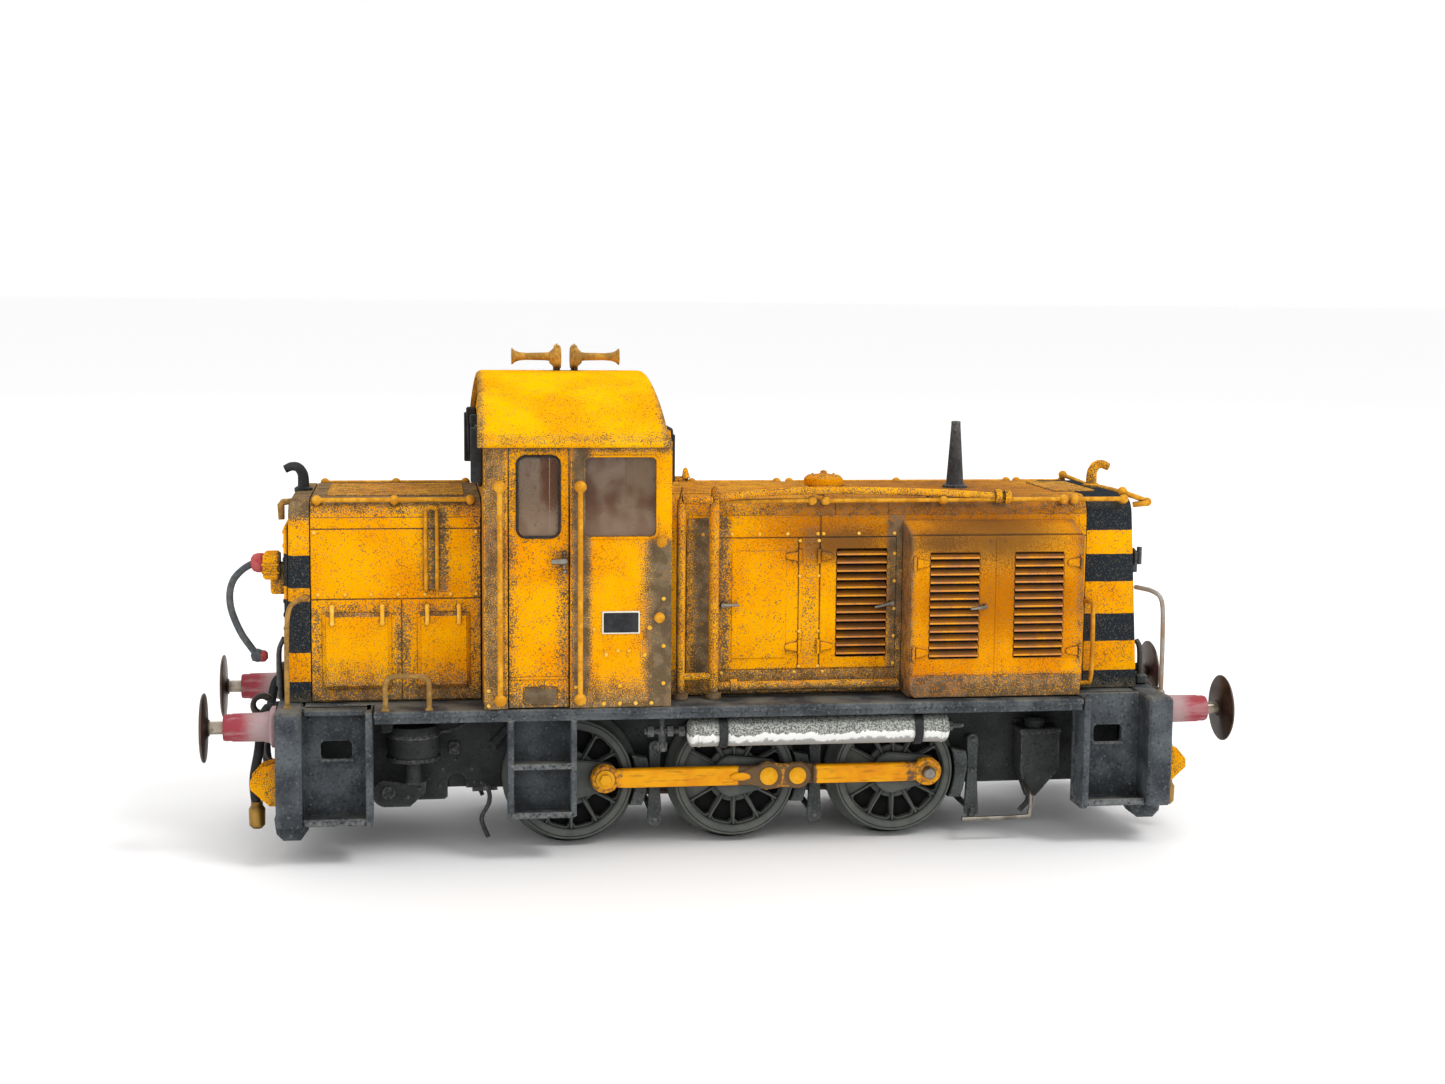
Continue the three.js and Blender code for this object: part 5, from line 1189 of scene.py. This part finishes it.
def short_bonnet():
    """Two raised lower panels, an inverted-U pipe and the top rail."""
    x0, x1 = -42.7, -25.6
    panels = bonnet_shell(x0, x1)
    panels += [skin((x0 + 0.05, x1 - 0.1), (26.38, 33.42)),
               skin((x0 + 0.05, x1 - 0.1), (33.5, 34.6), 0.12)]
    panels += [skin((x0 + 0.05, -33.72), (15.95, 26.28)), skin((-33.62, x1 - 0.1), (15.95, 26.28))]
    panels += [skin((-41.6, -34.7), (17.15, 24.95), 0.62, 0.42, 0.3),
               skin((-32.1, -26.8), (17.15, 24.95), 0.62, 0.42, 0.3)]
    studs = rivets(product((-42.0, -39.3, -36.7, -34, -31.3, -28.7, -26.1), [26.75]), -SIDE - 0.12, 0.22)
    studs += rivets(product((-42.3, -26.1), [33.1]), -SIDE - 0.12, 0.22)
    for x in (-40.6, -35.6, -31.1, -27.9):
        studs.append(bar((x, -SIDE - 0.72, 23.9), (x, -SIDE - 0.72, 25.6), 0.22))
        studs += [ball((x, -SIDE - 0.68, z), 0.26, 10) for z in (23.9, 25.6)]
    panels.append(rivet((-32.2, -SIDE - 0.6, 20.3), "y", -1, 0.13))
    far = flipped(panels[1:])
    piece("short_bonnet_skin", panels + far, "bonnet_short", replaces=["short_bonnet"])
    pair("short_bonnet_rivets", studs, "rivets")
    y = -SIDE - 0.5
    loop = [(-30.1, y, 27.3), (-30.1, y, 34.9), (-30.3, y, 35.45), (-30.65, y, 35.65), (-31.0, y, 35.45),
            (-31.2, y, 34.9), (-31.2, y, 27.3)]
    shapes = [tube(loop, 0.2, 10, 3)]
    shapes += [bar((x, y, 27.5), (x + 0.1, -SIDE, 27.1), 0.2) for x in (-30.1, -31.2)]
    shapes.append(rivet((-30.65, -SIDE - 0.15, 27.0), "y", -1, 0.25))
    shapes += top_rail((-42.0, -34.3, -26.7))
    pair("short_bonnet_rail", shapes, "rails")
    grab = [(-35.3, -15.3, 15.7), (-35.3, -15.3, 18.3), (-35.0, -15.3, 18.95), (-34.4, -15.3, 19.2),
            (-31.9, -15.3, 19.2), (-31.3, -15.3, 18.95), (-31.0, -15.3, 18.3), (-31.0, -15.3, 15.7)]
    pair("deck_grab_rail", [tube(grab, 0.27, 12, 3), rivet((-35.3, -15.3, DECK), "z", 1, 0.45),
                            rivet((-31.0, -15.3, DECK), "z", 1, 0.45)], "grab")


def louvres(xs, zs, count, face, deep=0.42):
    """Slats across an opening whose face is at y = -face."""
    step = (zs[1] - zs[0]) / count
    shapes = []
    for i in range(count):
        z = zs[0] + step * (i + 0.5)
        section = [(-face - 0.12, z - 0.2), (-face - 0.14, z - 0.02), (-face + deep, z + 0.36),
                   (-face + deep, z + 0.18)]
        shapes.append(slab("x", section, xs[0] - 0.02, xs[1] + 0.02, edge=0.03))
    return shapes


def leaf_hinge(x, z, out, face):
    """A tongue-shaped hinge leaf that points along out, with its pin."""
    start = 90 if out < 0 else -90
    outline = arc(x + out, z, 0.32, start, start + 180, 6) + [(x, z + out * 0.5), (x, z - out * 0.5)]
    pin_x = x - out * 0.22
    return [slab("y", outline, -face - 0.28, -face + 0.1, edge=0.1),
            bar((pin_x, -face - 0.15, z - 0.75), (pin_x, -face - 0.15, z + 0.75), 0.17, 8)]


def lever(x0, x1, z, face, rise=0.0):
    """A door handle: a spindle and a tapered lever."""
    y = -face - 0.5
    return [bar((x0, y, z), (x1, y, z + rise), (0.13, 0.22), 8),
            bar((x1, -face + 0.1, z + rise), (x1, y - 0.1, z + rise), 0.24)]


def long_bonnet():
    """Doors and panels ahead of the cab, one of them louvred."""
    x0, x1 = -6.7, 38.1
    panels = bonnet_shell(x0, 11.05) + bonnet_shell(11.05, 16.65, (19.55, 31.15))
    panels += bonnet_shell(16.65, x1)
    shells = len(panels)
    panels += [skin((-4.7, 9.35), (32.3, 34.55)), skin((9.5, x1 - 0.05), (32.3, 34.55))]
    panels += [skin((-1.4, 7.1), (18.45, 32.2), 0.12, 0.05),
               skin((7.2, 9.35), (18.45, 32.2), 0.12, 0.05), skin((-4.7, 17.5), (15.95, 18.38), 0.08)]
    door = [(9.45, 18.5), (17.5, 18.5), (17.5, 32.2), (9.45, 32.2)]
    panels.append(slab("y", door, -SIDE - 0.16, -SIDE + 0.2,
                       [rounded((11.15, 16.55), (19.65, 31.05), 0.12, 2)], 0.06))
    panels.append(skin((0.1, 5.85), (19.6, 30.9), 0.22, 0.08, 0.15))
    panels.append(skin((17.5, 18.2), (15.95, 34.5), 0.1))
    panels.append(skin((36.5, x1 - 0.05), (15.95, 32.2), 0.08))
    face, studs = SIDE + 0.14, []
    for x, out in ((7.05, -1), (9.5, 1)):
        for z in (30.3, 20.8):
            panels += leaf_hinge(x, z, out, face)
            studs += [rivet((x - out * 0.22, -face, z + dz), "y", -1, 0.2) for dz in (1.6, -2.1)]
    studs += rivets(product((-2.9, 0.1, 3.0, 5.95, 9.15, 9.75, 13.5, 17.3), [32.62]), -SIDE - 0.12, 0.2)
    studs += rivets(product((-0.9, 6.8, 9.8), [18.1]), -SIDE - 0.08, 0.2)
    studs += rivets(product((3.0, 6.6, 7.1, 9.0, 9.5, 12.8, 16.4), [16.2]), -SIDE - 0.08, 0.2)
    studs += rivets(product([17.35], (30.5, 27.6, 24.7, 21.8, 18.9)), -SIDE - 0.16, 0.2)
    piece("long_bonnet_skin", panels + flipped(panels[shells:]), "bonnet_long", replaces=["long_bonnet"])
    pair("long_bonnet_rivets", studs, "rivets")
    pair("door_louvres", louvres((11.2, 16.5), (19.7, 31.0), 13, SIDE + 0.14, 0.6), "slats")
    # A near-black box behind the slats, standing in for shade.
    pair("door_louvre_back", [box((11.1, 16.6), (-SIDE + 0.5, -SIDE + 0.8), (19.6, 31.1), 0.02)], "soot")
    pair("side_recess_panel", [slab("y", [(-4.6, 17.6), (-2.3, 17.6), (-2.3, 34.3), (-4.6, 34.3)],
                                    -SIDE - 0.2, -SIDE, edge=0.05)], "panel")
    pair("bonnet_handle", lever(0.9, -0.8, 25.3, face) + lever(15.2, 17.0, 24.9, face, 0.4), "steel")
    rail = []
    for xs in ((-1.3, 8.4), (9.85, 22.3, 35.3), (36.5, 41.9)):
        rail += top_rail(xs, -10.9, 36.15)
    pair("long_bonnet_rail", rail, "rails")


def pipe_runs():
    """The square pipe frame behind the cab, the long pipe on the bonnet top and the foot pipe."""
    y = -12.2
    pipes = [tube([(-5.4, y, 15.8), (-5.4, y, 35.9), (-5.2, y, 36.3), (-4.8, y, 36.4),
                   (-2.2, y + 0.2, 36.3)], 0.46, 12, 2),
             tube([(-1.95, y + 0.2, 15.8), (-1.95, y + 0.2, 35.6), (-1.85, y + 0.3, 36.5)], 0.52, 12, 2),
             bar((-5.4, y, 18.1), (-2.2, y + 0.2, 18.1), 0.4),
             tube([(-1.9, y + 0.3, 16.9), (0, -11.7, 16.95), (17.6, -11.6, 16.95)], 0.5, 12, 2)]
    pipes += [drum("z", 0.8, 15.8, 16.4, (x, y + 0.1, 0), 16) for x in (-5.4, -1.95)]
    pipes.append(drum("x", 0.75, -0.15, 0.55, (0, -11.7, 16.95), 16))
    pair("pipe_run", pipes, "pipes", replaces=["pipework_{side}"])
    over = [tube([(-1.9, y + 0.3, 36.5), (2.5, -11.5, 36.95), (9.2, -11.0, 37.2), (20, -10.8, 36.95),
                  (29.3, -10.8, 36.4)], 0.4, 12, 5)]
    over += [drum("x", 0.72, x - 0.3, x + 0.3, (0, -10.8, z), 16)
             for x, z in ((29.2, 36.4), (28.2, 36.5))]
    over += [box((x - 0.3, x + 0.3), (-10.9, -9.6), (z - 0.3, z + 0.1), 0.08)
             for x, z in ((9.4, 36.9), (21, 36.6))]
    piece("bonnet_top_pipe", over, "pipes")


def intake_boxes():
    """The deep boxes on the sides, with two louvred openings each."""
    face, (x0, x1), zs = 14.5, (18.2, 36.6), (19.95, 31.0)
    fields = ((20.2, 25.4), (29.2, 34.4))
    profile = [(-SIDE, BONNET_FOOT), (-SIDE, 34.0), (-face + 0.62, 32.9), (-face + 0.62, BONNET_FOOT)]
    outline = [(x0 + 0.5, BONNET_FOOT), (x1 - 0.15, BONNET_FOOT), (x1, 18.2), (x1, 32.7), (x0, 32.7),
               (x0, 16.4)]
    openings = [rounded(xs, zs, 0.1, 2) for xs in fields]
    shapes = [slab("x", profile, x0, x1, edge=0.1),
              slab("y", outline, -face, -face + 0.55, openings, 0.1),
              box((x0 + 0.15, x1 - 0.1), (-face - 0.07, -face + 0.1), (18.2, 18.42), 0.06),
              box((27.15, 27.45), (-face - 0.07, -face + 0.1), (18.4, 32.5), 0.05)]
    for x, out in ((18.75, 1), (36.1, -1)):
        for z in (29.9, 20.6):
            shapes += leaf_hinge(x, z, out, face)
    shapes += rivets(product((26.6, 28.1), (19.2, 32.2)), -face, 0.15)
    pair("intake_casing", shapes, "intake", replaces=["intake_box_{side}"])
    pair("intake_louvres", [s for xs in fields for s in louvres(xs, zs, 13, face)], "slats")
    # Near-black boxes behind the slats, standing in for shade.
    pair("intake_louvre_back", [box(xs, (-face + 0.4, -face + 0.6), zs, 0.02) for xs in fields], "soot")
    pair("intake_handle", lever(24.4, 26.0, 25.2, face, 0.2), "steel")


def noses():
    """The striped ends of the bonnets, with rounded front edges."""
    def rounded_end(x_back, x_front, rake):
        sign = 1 if x_front > x_back else -1
        rings = []
        for back, shrink in ((None, 0), (0.55, 0), (0.3, 0.12), (0.1, 0.35), (0, 0.65)):
            points = bonnet_outline(-shrink)
            x = x_back if back is None else x_front - sign * back
            rings.append([(x if back is None else x - sign * rake * (z - BONNET_FOOT) / 20.6, y, z)
                          for y, z in points])
        return loft(rings)
    short = [rounded_end(-42.78, -45.1, 0.25)]
    for side in (-1, 1):
        short += [rivet((x, side * SIDE, z), "y", side, 0.2)
                  for x, z in ((-44.3, 29.6), (-44.3, 25.3), (-44.4, 18.4), (-44.4, 20.6), (-44.4, 16.4),
                               (-43.4, 16.4))]
    short += [plate("x", (-8.6, 8.6), (17.4, 33.6), 0.8, -45.45, -44.9, 0.2)]
    short += [box((-45.62, -45.35), (-7.4, 7.4), (z, z + 0.5), 0.12) for z in frange(18.4, 32.6, 1.42)]
    piece("short_nose", short, "nose_short", replaces=["nose_short_end"])
    long = [rounded_end(38.15, 44.3, 1.15)]
    for side in (-1, 1):
        long += [rivet((x, side * SIDE, z), "y", side, 0.22) for x, z in
                 ((40.3, 17.1), (40.5, 16.3), (43.0, 16.3), (40.6, 19.6), (39.0, 36.0))]
    grille = [spun(plate("x", (-8.2, 8.2), (18.2, 33.2), 0.7, 44.1, 44.6, 0.15), -3.2, (44.3, 0, 16))]
    grille += [spun(box((44.5, 44.85), (y - 0.16, y + 0.16), (19.0, 32.4), 0.08), -3.2, (44.3, 0, 16))
               for y in frange(-7.5, 7.5, 0.75)]
    piece("long_nose", long + grille, "nose_long", replaces=["nose_long_end"])
    tip = 44.9
    rail = [tube([(43.4, -9.6, 35.4), (tip, -9.7, 35.7), (tip + 0.2, 0, 35.9), (tip, 9.7, 35.7),
                  (43.4, 9.6, 35.4)], 0.3, 10, 4)]
    rail += [ball((tip, s * 9.7, 35.7), 0.48) for s in (-1, 1)]
    rail += [ball((41.9, s * 10.4, 36.9), 0.5) for s in (-1, 1)]
    rail += [bar((41.9, s * 10.4, 36.9), (tip, s * 9.7, 35.7), 0.24, 8) for s in (-1, 1)]
    piece("long_nose_rail", rail, "rails")
    lamp = [slab("y", [(44.0, 27.4), (45.6, 27.6), (45.6, 29.8), (45.2, 30.2), (45.2, 28.4),
                       (44.0, 28.2)], -5.4, -4.6, edge=0.1),
            box((43.6, 45.0), (-5.6, -4.4), (26.8, 27.9), 0.12),
            bar((45.9, -5, 28.4), (45.9, -5, 30.3), 0.28)]
    lamp += flipped(lamp)
    piece("lamp_bracket_long", lamp, "brakes")
    lead = [slab("y", [(-46.4, 33.4), (-45.8, 33.4), (-45.8, 34.9), (-44.6, 35.1), (-44.6, 35.6),
                       (-46.1, 35.5), (-46.5, 35.0)], -0.6, 0.6, edge=0.15)]
    piece("lamp_bracket_short", lead, "grab")
    for name, sign, base, look in (("long", 1, 44.4, "dull"), ("short", -1, 43.5, "grab")):
        bend = ((-0.6, -10.0, 26.6), (0.6, -12.2, 26.4), (1.3, -13.0, 25.4), (1.5, -13.0, 22.0),
                (1.5, -13.0, 15.6))
        corner = [tube([(sign * (base + x), y, z) for x, y, z in bend], 0.25, 10, 4),
                  rivet((sign * (base + 1.5), -13.0, DECK), "z", 1, 0.45)]
        pair(f"corner_handrail_{name}", corner, look)
    side_rail = [tube([(38.0, -SIDE, 25.2), (38.3, -11.3, 25.3), (38.7, -11.4, 24.6),
                       (38.7, -11.4, 17.4), (38.2, -11.2, 16.6), (37.6, -11.0, 16.5)], 0.24, 10, 4)]
    pair("nose_side_rail", side_rail, "rails")


def bonnet_top_fittings():
    """Filler cap, exhaust stack, swan-neck vents and lids."""
    cap = [(0, 36.3), (1.55, 36.3), (1.55, 36.9), (1.75, 37.05), (2.05, 37.15), (2.12, 37.45),
           (2.05, 37.9), (1.7, 38.2), (0.5, 38.35), (0.35, 38.45), (0.35, 38.65), (0, 38.75)]
    filler = [turned("z", cap, (10.9, -4, 0), 36), box((12.6, 14.0), (-4.3, -3.7), (36.4, 37.2), 0.12)]
    filler += [rivet((10.9 + 1.3 * math.cos(a), -4 + 1.3 * math.sin(a), 38.28), "z", 1, 0.14)
               for a in (0.4, 2.5, 4.6)]
    piece("filler", filler, "bonnet_long", replaces=["filler_cap"])
    stack = [(0, 36.4), (1.35, 36.4), (1.35, 36.7), (1.0, 36.85), (0.95, 37.0), (0.5, 43.45),
             (0.52, 43.65), (0.42, 43.72), (0.34, 43.6), (0.34, 41.5), (0, 41.5)]
    piece("exhaust_pipe", [turned("z", stack, (26.35, 0, 0), 32)], "exhaust", replaces=["exhaust_stack"])
    for name, x, sign, look in (("long_end", 41.9, 1, "pipes"), ("short_end", -43.8, -1, "black")):
        neck = ((0, 36.3), (0, 37.6), (0.12, 38.3), (0.55, 38.85), (1.2, 38.95), (1.9, 38.65))
        collar = [(0, 36.3), (0.95, 36.3), (0.95, 36.7), (0.7, 36.85), (0, 36.85)]
        shapes = [tube([(x + sign * dx, 0, z) for dx, z in neck], (0.62, 0.42), 16, 5),
                  turned("z", collar, (x, 0, 0), 20)]
        piece(f"vent_neck_{name}", shapes, look, replaces=[f"swan_neck_{name}"])
    deck = [plate("z", (35.9, 40.6), (-5.6, 5.6), 0.6, 36.35, 36.6, 0.08)]
    piece("bonnet_hatch", deck, "panel")
    lids = [plate("z", (x, x + 8.5), (-6.5, 6.5), 0.5, 36.4, 36.56, 0.06) for x in (-5.6, 14.6)]
    piece("bonnet_lids", lids, "bonnet_long")
    lid = [plate("z", (-41.2, -27.2), (-6.8, 6.8), 0.5, 36.4, 36.56, 0.06)]
    piece("short_bonnet_lid", lid, "panel")


# ---- cab -----------------------------------------------------------------------------------------
DOOR_WINDOW = ((-22.1, -18.15), (33.2, 41.0))
SIDE_WINDOW = ((-15.5, -8.4), (33.1, 41.05))
END_WINDOWS_Y, END_WINDOWS_Z = ((-13, -1.6), (1.6, 13)), (38.2, 43.4)
GABLE_SPRING = 43.6  # where the gable starts to lean in to the roof
ROOF_EAVES = (42.45, 16.55)  # z and |y| of the gutters


def cab():
    """Walls with recessed doors, gables, glazing and window trim."""
    y, (x0, x1) = -CAB_Y, CAB_X
    top = 42.6
    left = [(x0, 15.8), (-23.2, 15.8), (-23.2, top), (x0, top)]
    door = [(-23.1, 15.85), (-17.1, 15.85), (-17.1, top - 0.6), (-23.1, top - 0.6)]
    right = [(-17.0, 15.8), (x1, 15.8), (x1, top), (-17.0, top)]
    walls = [slab("y", left, y, y + 0.8, edge=0.1),
             slab("y", door, y + 0.3, y + 0.75,
                  [rounded(*DOOR_WINDOW, 0.8), rounded((-21.7, -18.2), (16.1, 18.0), 0.3)], 0.06),
             slab("y", right, y, y + 0.8, [rounded(*SIDE_WINDOW, 0.5)], 0.1),
             box((-23.3, -16.9), (y + 0.05, y + 0.8), (top - 0.62, top), 0.06),
             box((-23.0, -17.2), (y + 0.12, y + 0.4), (18.75, 19.0), 0.06),
             box((-21.8, -18.1), (y + 0.5, y + 0.8), (16.0, 18.1), 0.03)]
    walls += [box((x, x + 0.16), (y - 0.05, y + 0.2), (15.9, top - 0.3), 0.04) for x in (-23.5, -16.95)]
    frame_outer, frame_inner = rounded((-15.75, -8.15), (32.85, 41.3), 0.6), rounded(*SIDE_WINDOW, 0.5)
    walls.append(slab("y", frame_outer, y - 0.1, y + 0.3, [frame_inner], 0.08))
    studs = rivets(((-13.4, 21.2), (-12.2, 21.6), (-11.1, 21.55), (-9.5, 21.1), (-12.0, 18.0),
                    (-13.6, 16.2), (-12.0, 16.2), (-10.4, 16.2), (-8.8, 16.2), (-7.6, 18.2), (-7.6, 22),
                    (-7.6, 26.8), (-25.1, 17.7), (-25.1, 16.2), (-16.4, 17.9), (-15.6, 16.4),
                    (-14.6, 23.8)), y, 0.22)
    studs.append(rivet((-9.0, y, 23.9), "y", -1, 0.28))
    pair("cab_rivets", studs, "rivets")
    both = walls + flipped(walls)
    gable = ([(-CAB_Y + 0.05, 15.8), (CAB_Y - 0.05, 15.8), (CAB_Y - 0.05, 42.05)]
             + [(y, GABLE_SPRING) for y in (14.1, -14.1)] + [(-CAB_Y + 0.05, 42.05)])
    holes = [rounded(ys, END_WINDOWS_Z, 0.7) for ys in END_WINDOWS_Y]
    for end, (xa, xb) in ((0, (x0, x0 + 0.75)), (1, (x1 - 0.75, x1))):
        both.append(slab("x", gable, xa, xb, holes, 0.08))
        both.append(loft([roof_row(x - 0.35 * end, end, ROOF_RADIUS - 0.72, 37) for x in (xa, xb)]))
    piece("cab_walls", both, "cab", replaces=["cab_shell"])
    gasket = [plate("y", (-22.35, -17.9), (32.95, 41.25), 0.95, y + 0.1, y + 0.5, 0.1,
                    [rounded(*DOOR_WINDOW, 0.75)])]
    pair("door_gasket", gasket, "black")
    panes = [plate("y", (a[0] - 0.05, a[1] + 0.05), (b[0] - 0.05, b[1] + 0.05), 0.6, y + 0.42, y + 0.62,
                   0.03) for a, b in (DOOR_WINDOW, SIDE_WINDOW)]
    panes += flipped(panes)
    panes += [plate("x", ys, END_WINDOWS_Z, 0.7, x - 0.1, x + 0.1, 0.03)
              for ys in END_WINDOWS_Y for x in (x0 + 0.4, x1 - 0.4)]
    piece("cab_panes", panes, "window", replaces=["cab_glazing"])
    end_frames = []
    for x, out in ((x0, -1), (x1, 1)):
        for ys in END_WINDOWS_Y:
            outer = rounded((ys[0] - 0.35, ys[1] + 0.35), (37.85, 43.75), 0.9)
            end_frames.append(slab("x", outer, x - 0.02, x + out * 0.42,
                                   [rounded(ys, END_WINDOWS_Z, 0.7)], 0.1))
        for s in (-1, 1):
            reach, top = (1.2, 43.9) if out < 0 else (0.5, 43.2)
            end_frames.append(box((x, x + out * reach), (s * 13.3, s * 14.1), (38.4, top), 0.1))
            if out < 0:
                end_frames.append(bar((x - 0.9, s * 7.5, 44.1), (x - 0.8, s * 7.0, 40.0), 0.14, 8))
                end_frames.append(box((x, x - 1.1), (s * 7.0, s * 8.2), (43.8, 44.8), 0.15))
    piece("end_window_gear", end_frames, "black")


def cab_fittings():
    """Handrails, door handle and data plate."""
    y = -CAB_Y
    rails = []
    for x in (-24.0, -16.05):
        knobs = [((x, y - 1.05, z), (x, y + 0.1, z)) for z in (16.9, 38.2)]
        rails += handrail([(x, y - 1.05, 16.9), (x, y - 1.05, 38.2)], knobs, 0.27, 0.62)
    for x, z in ((-7.9, 32.6), (-8.1, 25.0)):
        rails += [ball((x, y - 0.8, z), 0.55), bar((x, y + 0.1, z), (x, y - 0.8, z), 0.34)]
    pair("cab_handrail", rails, "rails")
    handle = [bar((-18.9, y - 0.55, 30.7), (-17.5, y - 0.55, 30.75), (0.3, 0.36), 12),
              bar((-17.6, y + 0.3, 30.75), (-17.6, y - 0.6, 30.75), 0.3),
              ball((-17.6, y - 0.1, 31.5), 0.26), ball((-17.55, y - 0.1, 29.65), 0.24),
              bar((-17.6, y - 0.2, 29.9), (-17.6, y - 0.2, 31.3), 0.13, 8)]
    pair("door_handle", handle, "steel")
    border = plate("y", (-13.8, -10.0), (23.3, 25.6), 0.1, y - 0.1, y + 0.1, 0.04, steps=2)
    pair("data_plate_rim", [border], "nylon")
    pair("data_plate", [plate("y", (-13.65, -10.15), (23.45, 25.45), 0.08, y - 0.13, y + 0.05, 0.02,
                              steps=2)], "black")


def roof_row(x, end, radius, half):
    """Points round the roof's arch at one end (0 short, 1 long), which leans in towards its crest."""
    points = []
    for i in range(49):
        a = math.radians(90 - half + 2 * half * i / 48)
        y, z = radius * math.cos(a), ROOF_CENTRE + radius * math.sin(a)
        rise = max(0, (z - 42.4) / 6.7) ** 1.5
        points.append((x + rise * (-1.0 if end else 0.5), y, z))
    return points


def cab_roof():
    """The arched roof with its gutters."""
    x0, x1, thick = -26.15, -7.1, 0.7
    eaves_z, eaves_y = ROOF_EAVES
    half = math.degrees(math.asin(eaves_y / ROOF_RADIUS))
    rim = [(0.0, 0.3), (0.2, 0.08), (0.55, 0.0)]  # how far back, and how much lower there
    rings = []
    for end, x, steps in ((0, x0, rim), (1, x1, rim[::-1])):
        for back, lower in steps:
            at = x - back if end else x + back
            outer = roof_row(at, end, ROOF_RADIUS - lower, half)
            rings.append(outer + list(reversed(roof_row(at, end, ROOF_RADIUS - thick, half))))
    shapes = [loft(rings)]
    for side in (-1, 1):
        shapes.append(bar((x0 + 0.05, side * eaves_y, eaves_z), (x1 - 0.05, side * eaves_y, eaves_z),
                          0.42, 12))
    piece("roof_sheet", shapes, "roof", replaces=["cab_roof"], sharp=50)


def horns():
    """Two horns back to back on the roof, each with its drum."""
    for end, sign in (("short_end", -1), ("long_end", 1)):
        x = -16.35 + sign * 0.5
        rim = [(0, 0.0), (1.1, 0.0), (1.25, 0.12), (1.35, 0.2), (1.35, 0.62), (1.25, 0.7), (0.9, 0.85),
               (0.6, 1.2), (0, 1.25)]
        base = [turned("x", [(r, x + sign * h) for r, h in rim], (0, 0, 50.45), 30),
                box((x + sign * 0.1, x + sign * 0.8), (-0.45, 0.45), (48.8, 49.6), 0.1)]
        base += [rivet((x + sign * 0.42, y, z), "x", sign, 0.16) for y, z in ring(0, 50.45, 1.32, 12)]
        piece(f"horn_drum_{end}", base, "horn")
        bell = [(0, 1.0), (0.5, 1.0), (0.42, 1.6), (0.38, 3.6), (0.45, 4.4), (0.62, 4.85), (0.86, 5.1),
                (0.86, 5.2), (0.7, 5.18), (0.35, 4.7), (0, 4.6)]
        shapes = [turned("x", [(r, x + sign * h) for r, h in bell], (0, 0, 50.55), 24)]
        piece(f"horn_bell_{end}", shapes, "horn", replaces=[f"horn_{end}"])


# ---- inner parts that keep their CAD shape, and the look of each ---------------------------------
KEPT = {
    "keeper_plate": "keeper", "pickup_plate": "contact", "axle_front": "steel",
    "axle_middle": "steel", "axle_rear": "steel", "worm_wheel": "nylon", "worm": "drive_brass",
    "motor_shaft": "steel", "flywheel": "drive_brass", "motor_case": "motor", "circuit_board": "board",
    "cab_interior": "inside",
}


def dress_frame():
    """The inner parts keep their CAD shapes and get only a material."""
    for node, look in KEPT.items():
        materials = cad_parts[node].data.materials
        materials.clear()
        materials.append(LOOKS[look][0])


# ---- stage ---------------------------------------------------------------------------------------
LIGHTS = {  # place and size in metres, power in watts
    "key": ((0.35, -0.3, 0.6), 0.25, 1.9),
    "fill": ((-0.5, -0.5, 0.35), 0.5, 0.3),
    "rim": ((0.1, 0.5, 0.5), 0.5, 0.6),
}
LIGHTS_AIM = (0, 0, 0.025)
FLOOR_REACH = 30.0  # metres


def stage():
    """A white floor, a white sky and three soft lights."""
    mesh = bpy.data.meshes.new("floor")
    corners = [(x * FLOOR_REACH, y * FLOOR_REACH, 0) for x, y in ((-1, -1), (1, -1), (1, 1), (-1, 1))]
    mesh.from_pydata(corners, [], [(0, 1, 2, 3)])
    floor = bpy.data.objects.new("floor", mesh)
    bpy.context.scene.collection.objects.link(floor)
    s = Surface("floor_paper")
    tone = s.noise(0.002, 2)
    colour = s.blend(tone, (0.955, 0.955, 0.955, 1), (0.97, 0.97, 0.97, 1))
    mesh.materials.append(s.finish(colour, s.plus(0.7, s.times(tone, 0.1))))
    world = bpy.data.worlds.new("studio")
    world.use_nodes = True
    world.node_tree.nodes["Background"].inputs["Color"].default_value = (1, 1, 1, 1)
    world.node_tree.nodes["Background"].inputs["Strength"].default_value = 1.0
    bpy.context.scene.world = world
    bpy.context.scene.view_settings.view_transform = "Standard"
    for name, (place, size, power) in LIGHTS.items():
        light = bpy.data.lights.new(name, "AREA")
        light.shape = "DISK"
        light.size = size
        light.energy = power
        lamp = bpy.data.objects.new(name, light)
        lamp.location = place
        lamp.rotation_euler = (Vector(LIGHTS_AIM) - Vector(place)).to_track_quat("-Z", "Y").to_euler()
        bpy.context.scene.collection.objects.link(lamp)


footplate()
buffer_beams()
frame_core()
frame_plates()
brake_gear()
air_tanks()
cab_steps()
underframe_fittings()
wheels()
rods()
buffers()
hooks()
brake_hoses()
jumper()
short_bonnet()
long_bonnet()
pipe_runs()
intake_boxes()
noses()
bonnet_top_fittings()
cab()
cab_fittings()
cab_roof()
horns()
dress_frame()
stage()
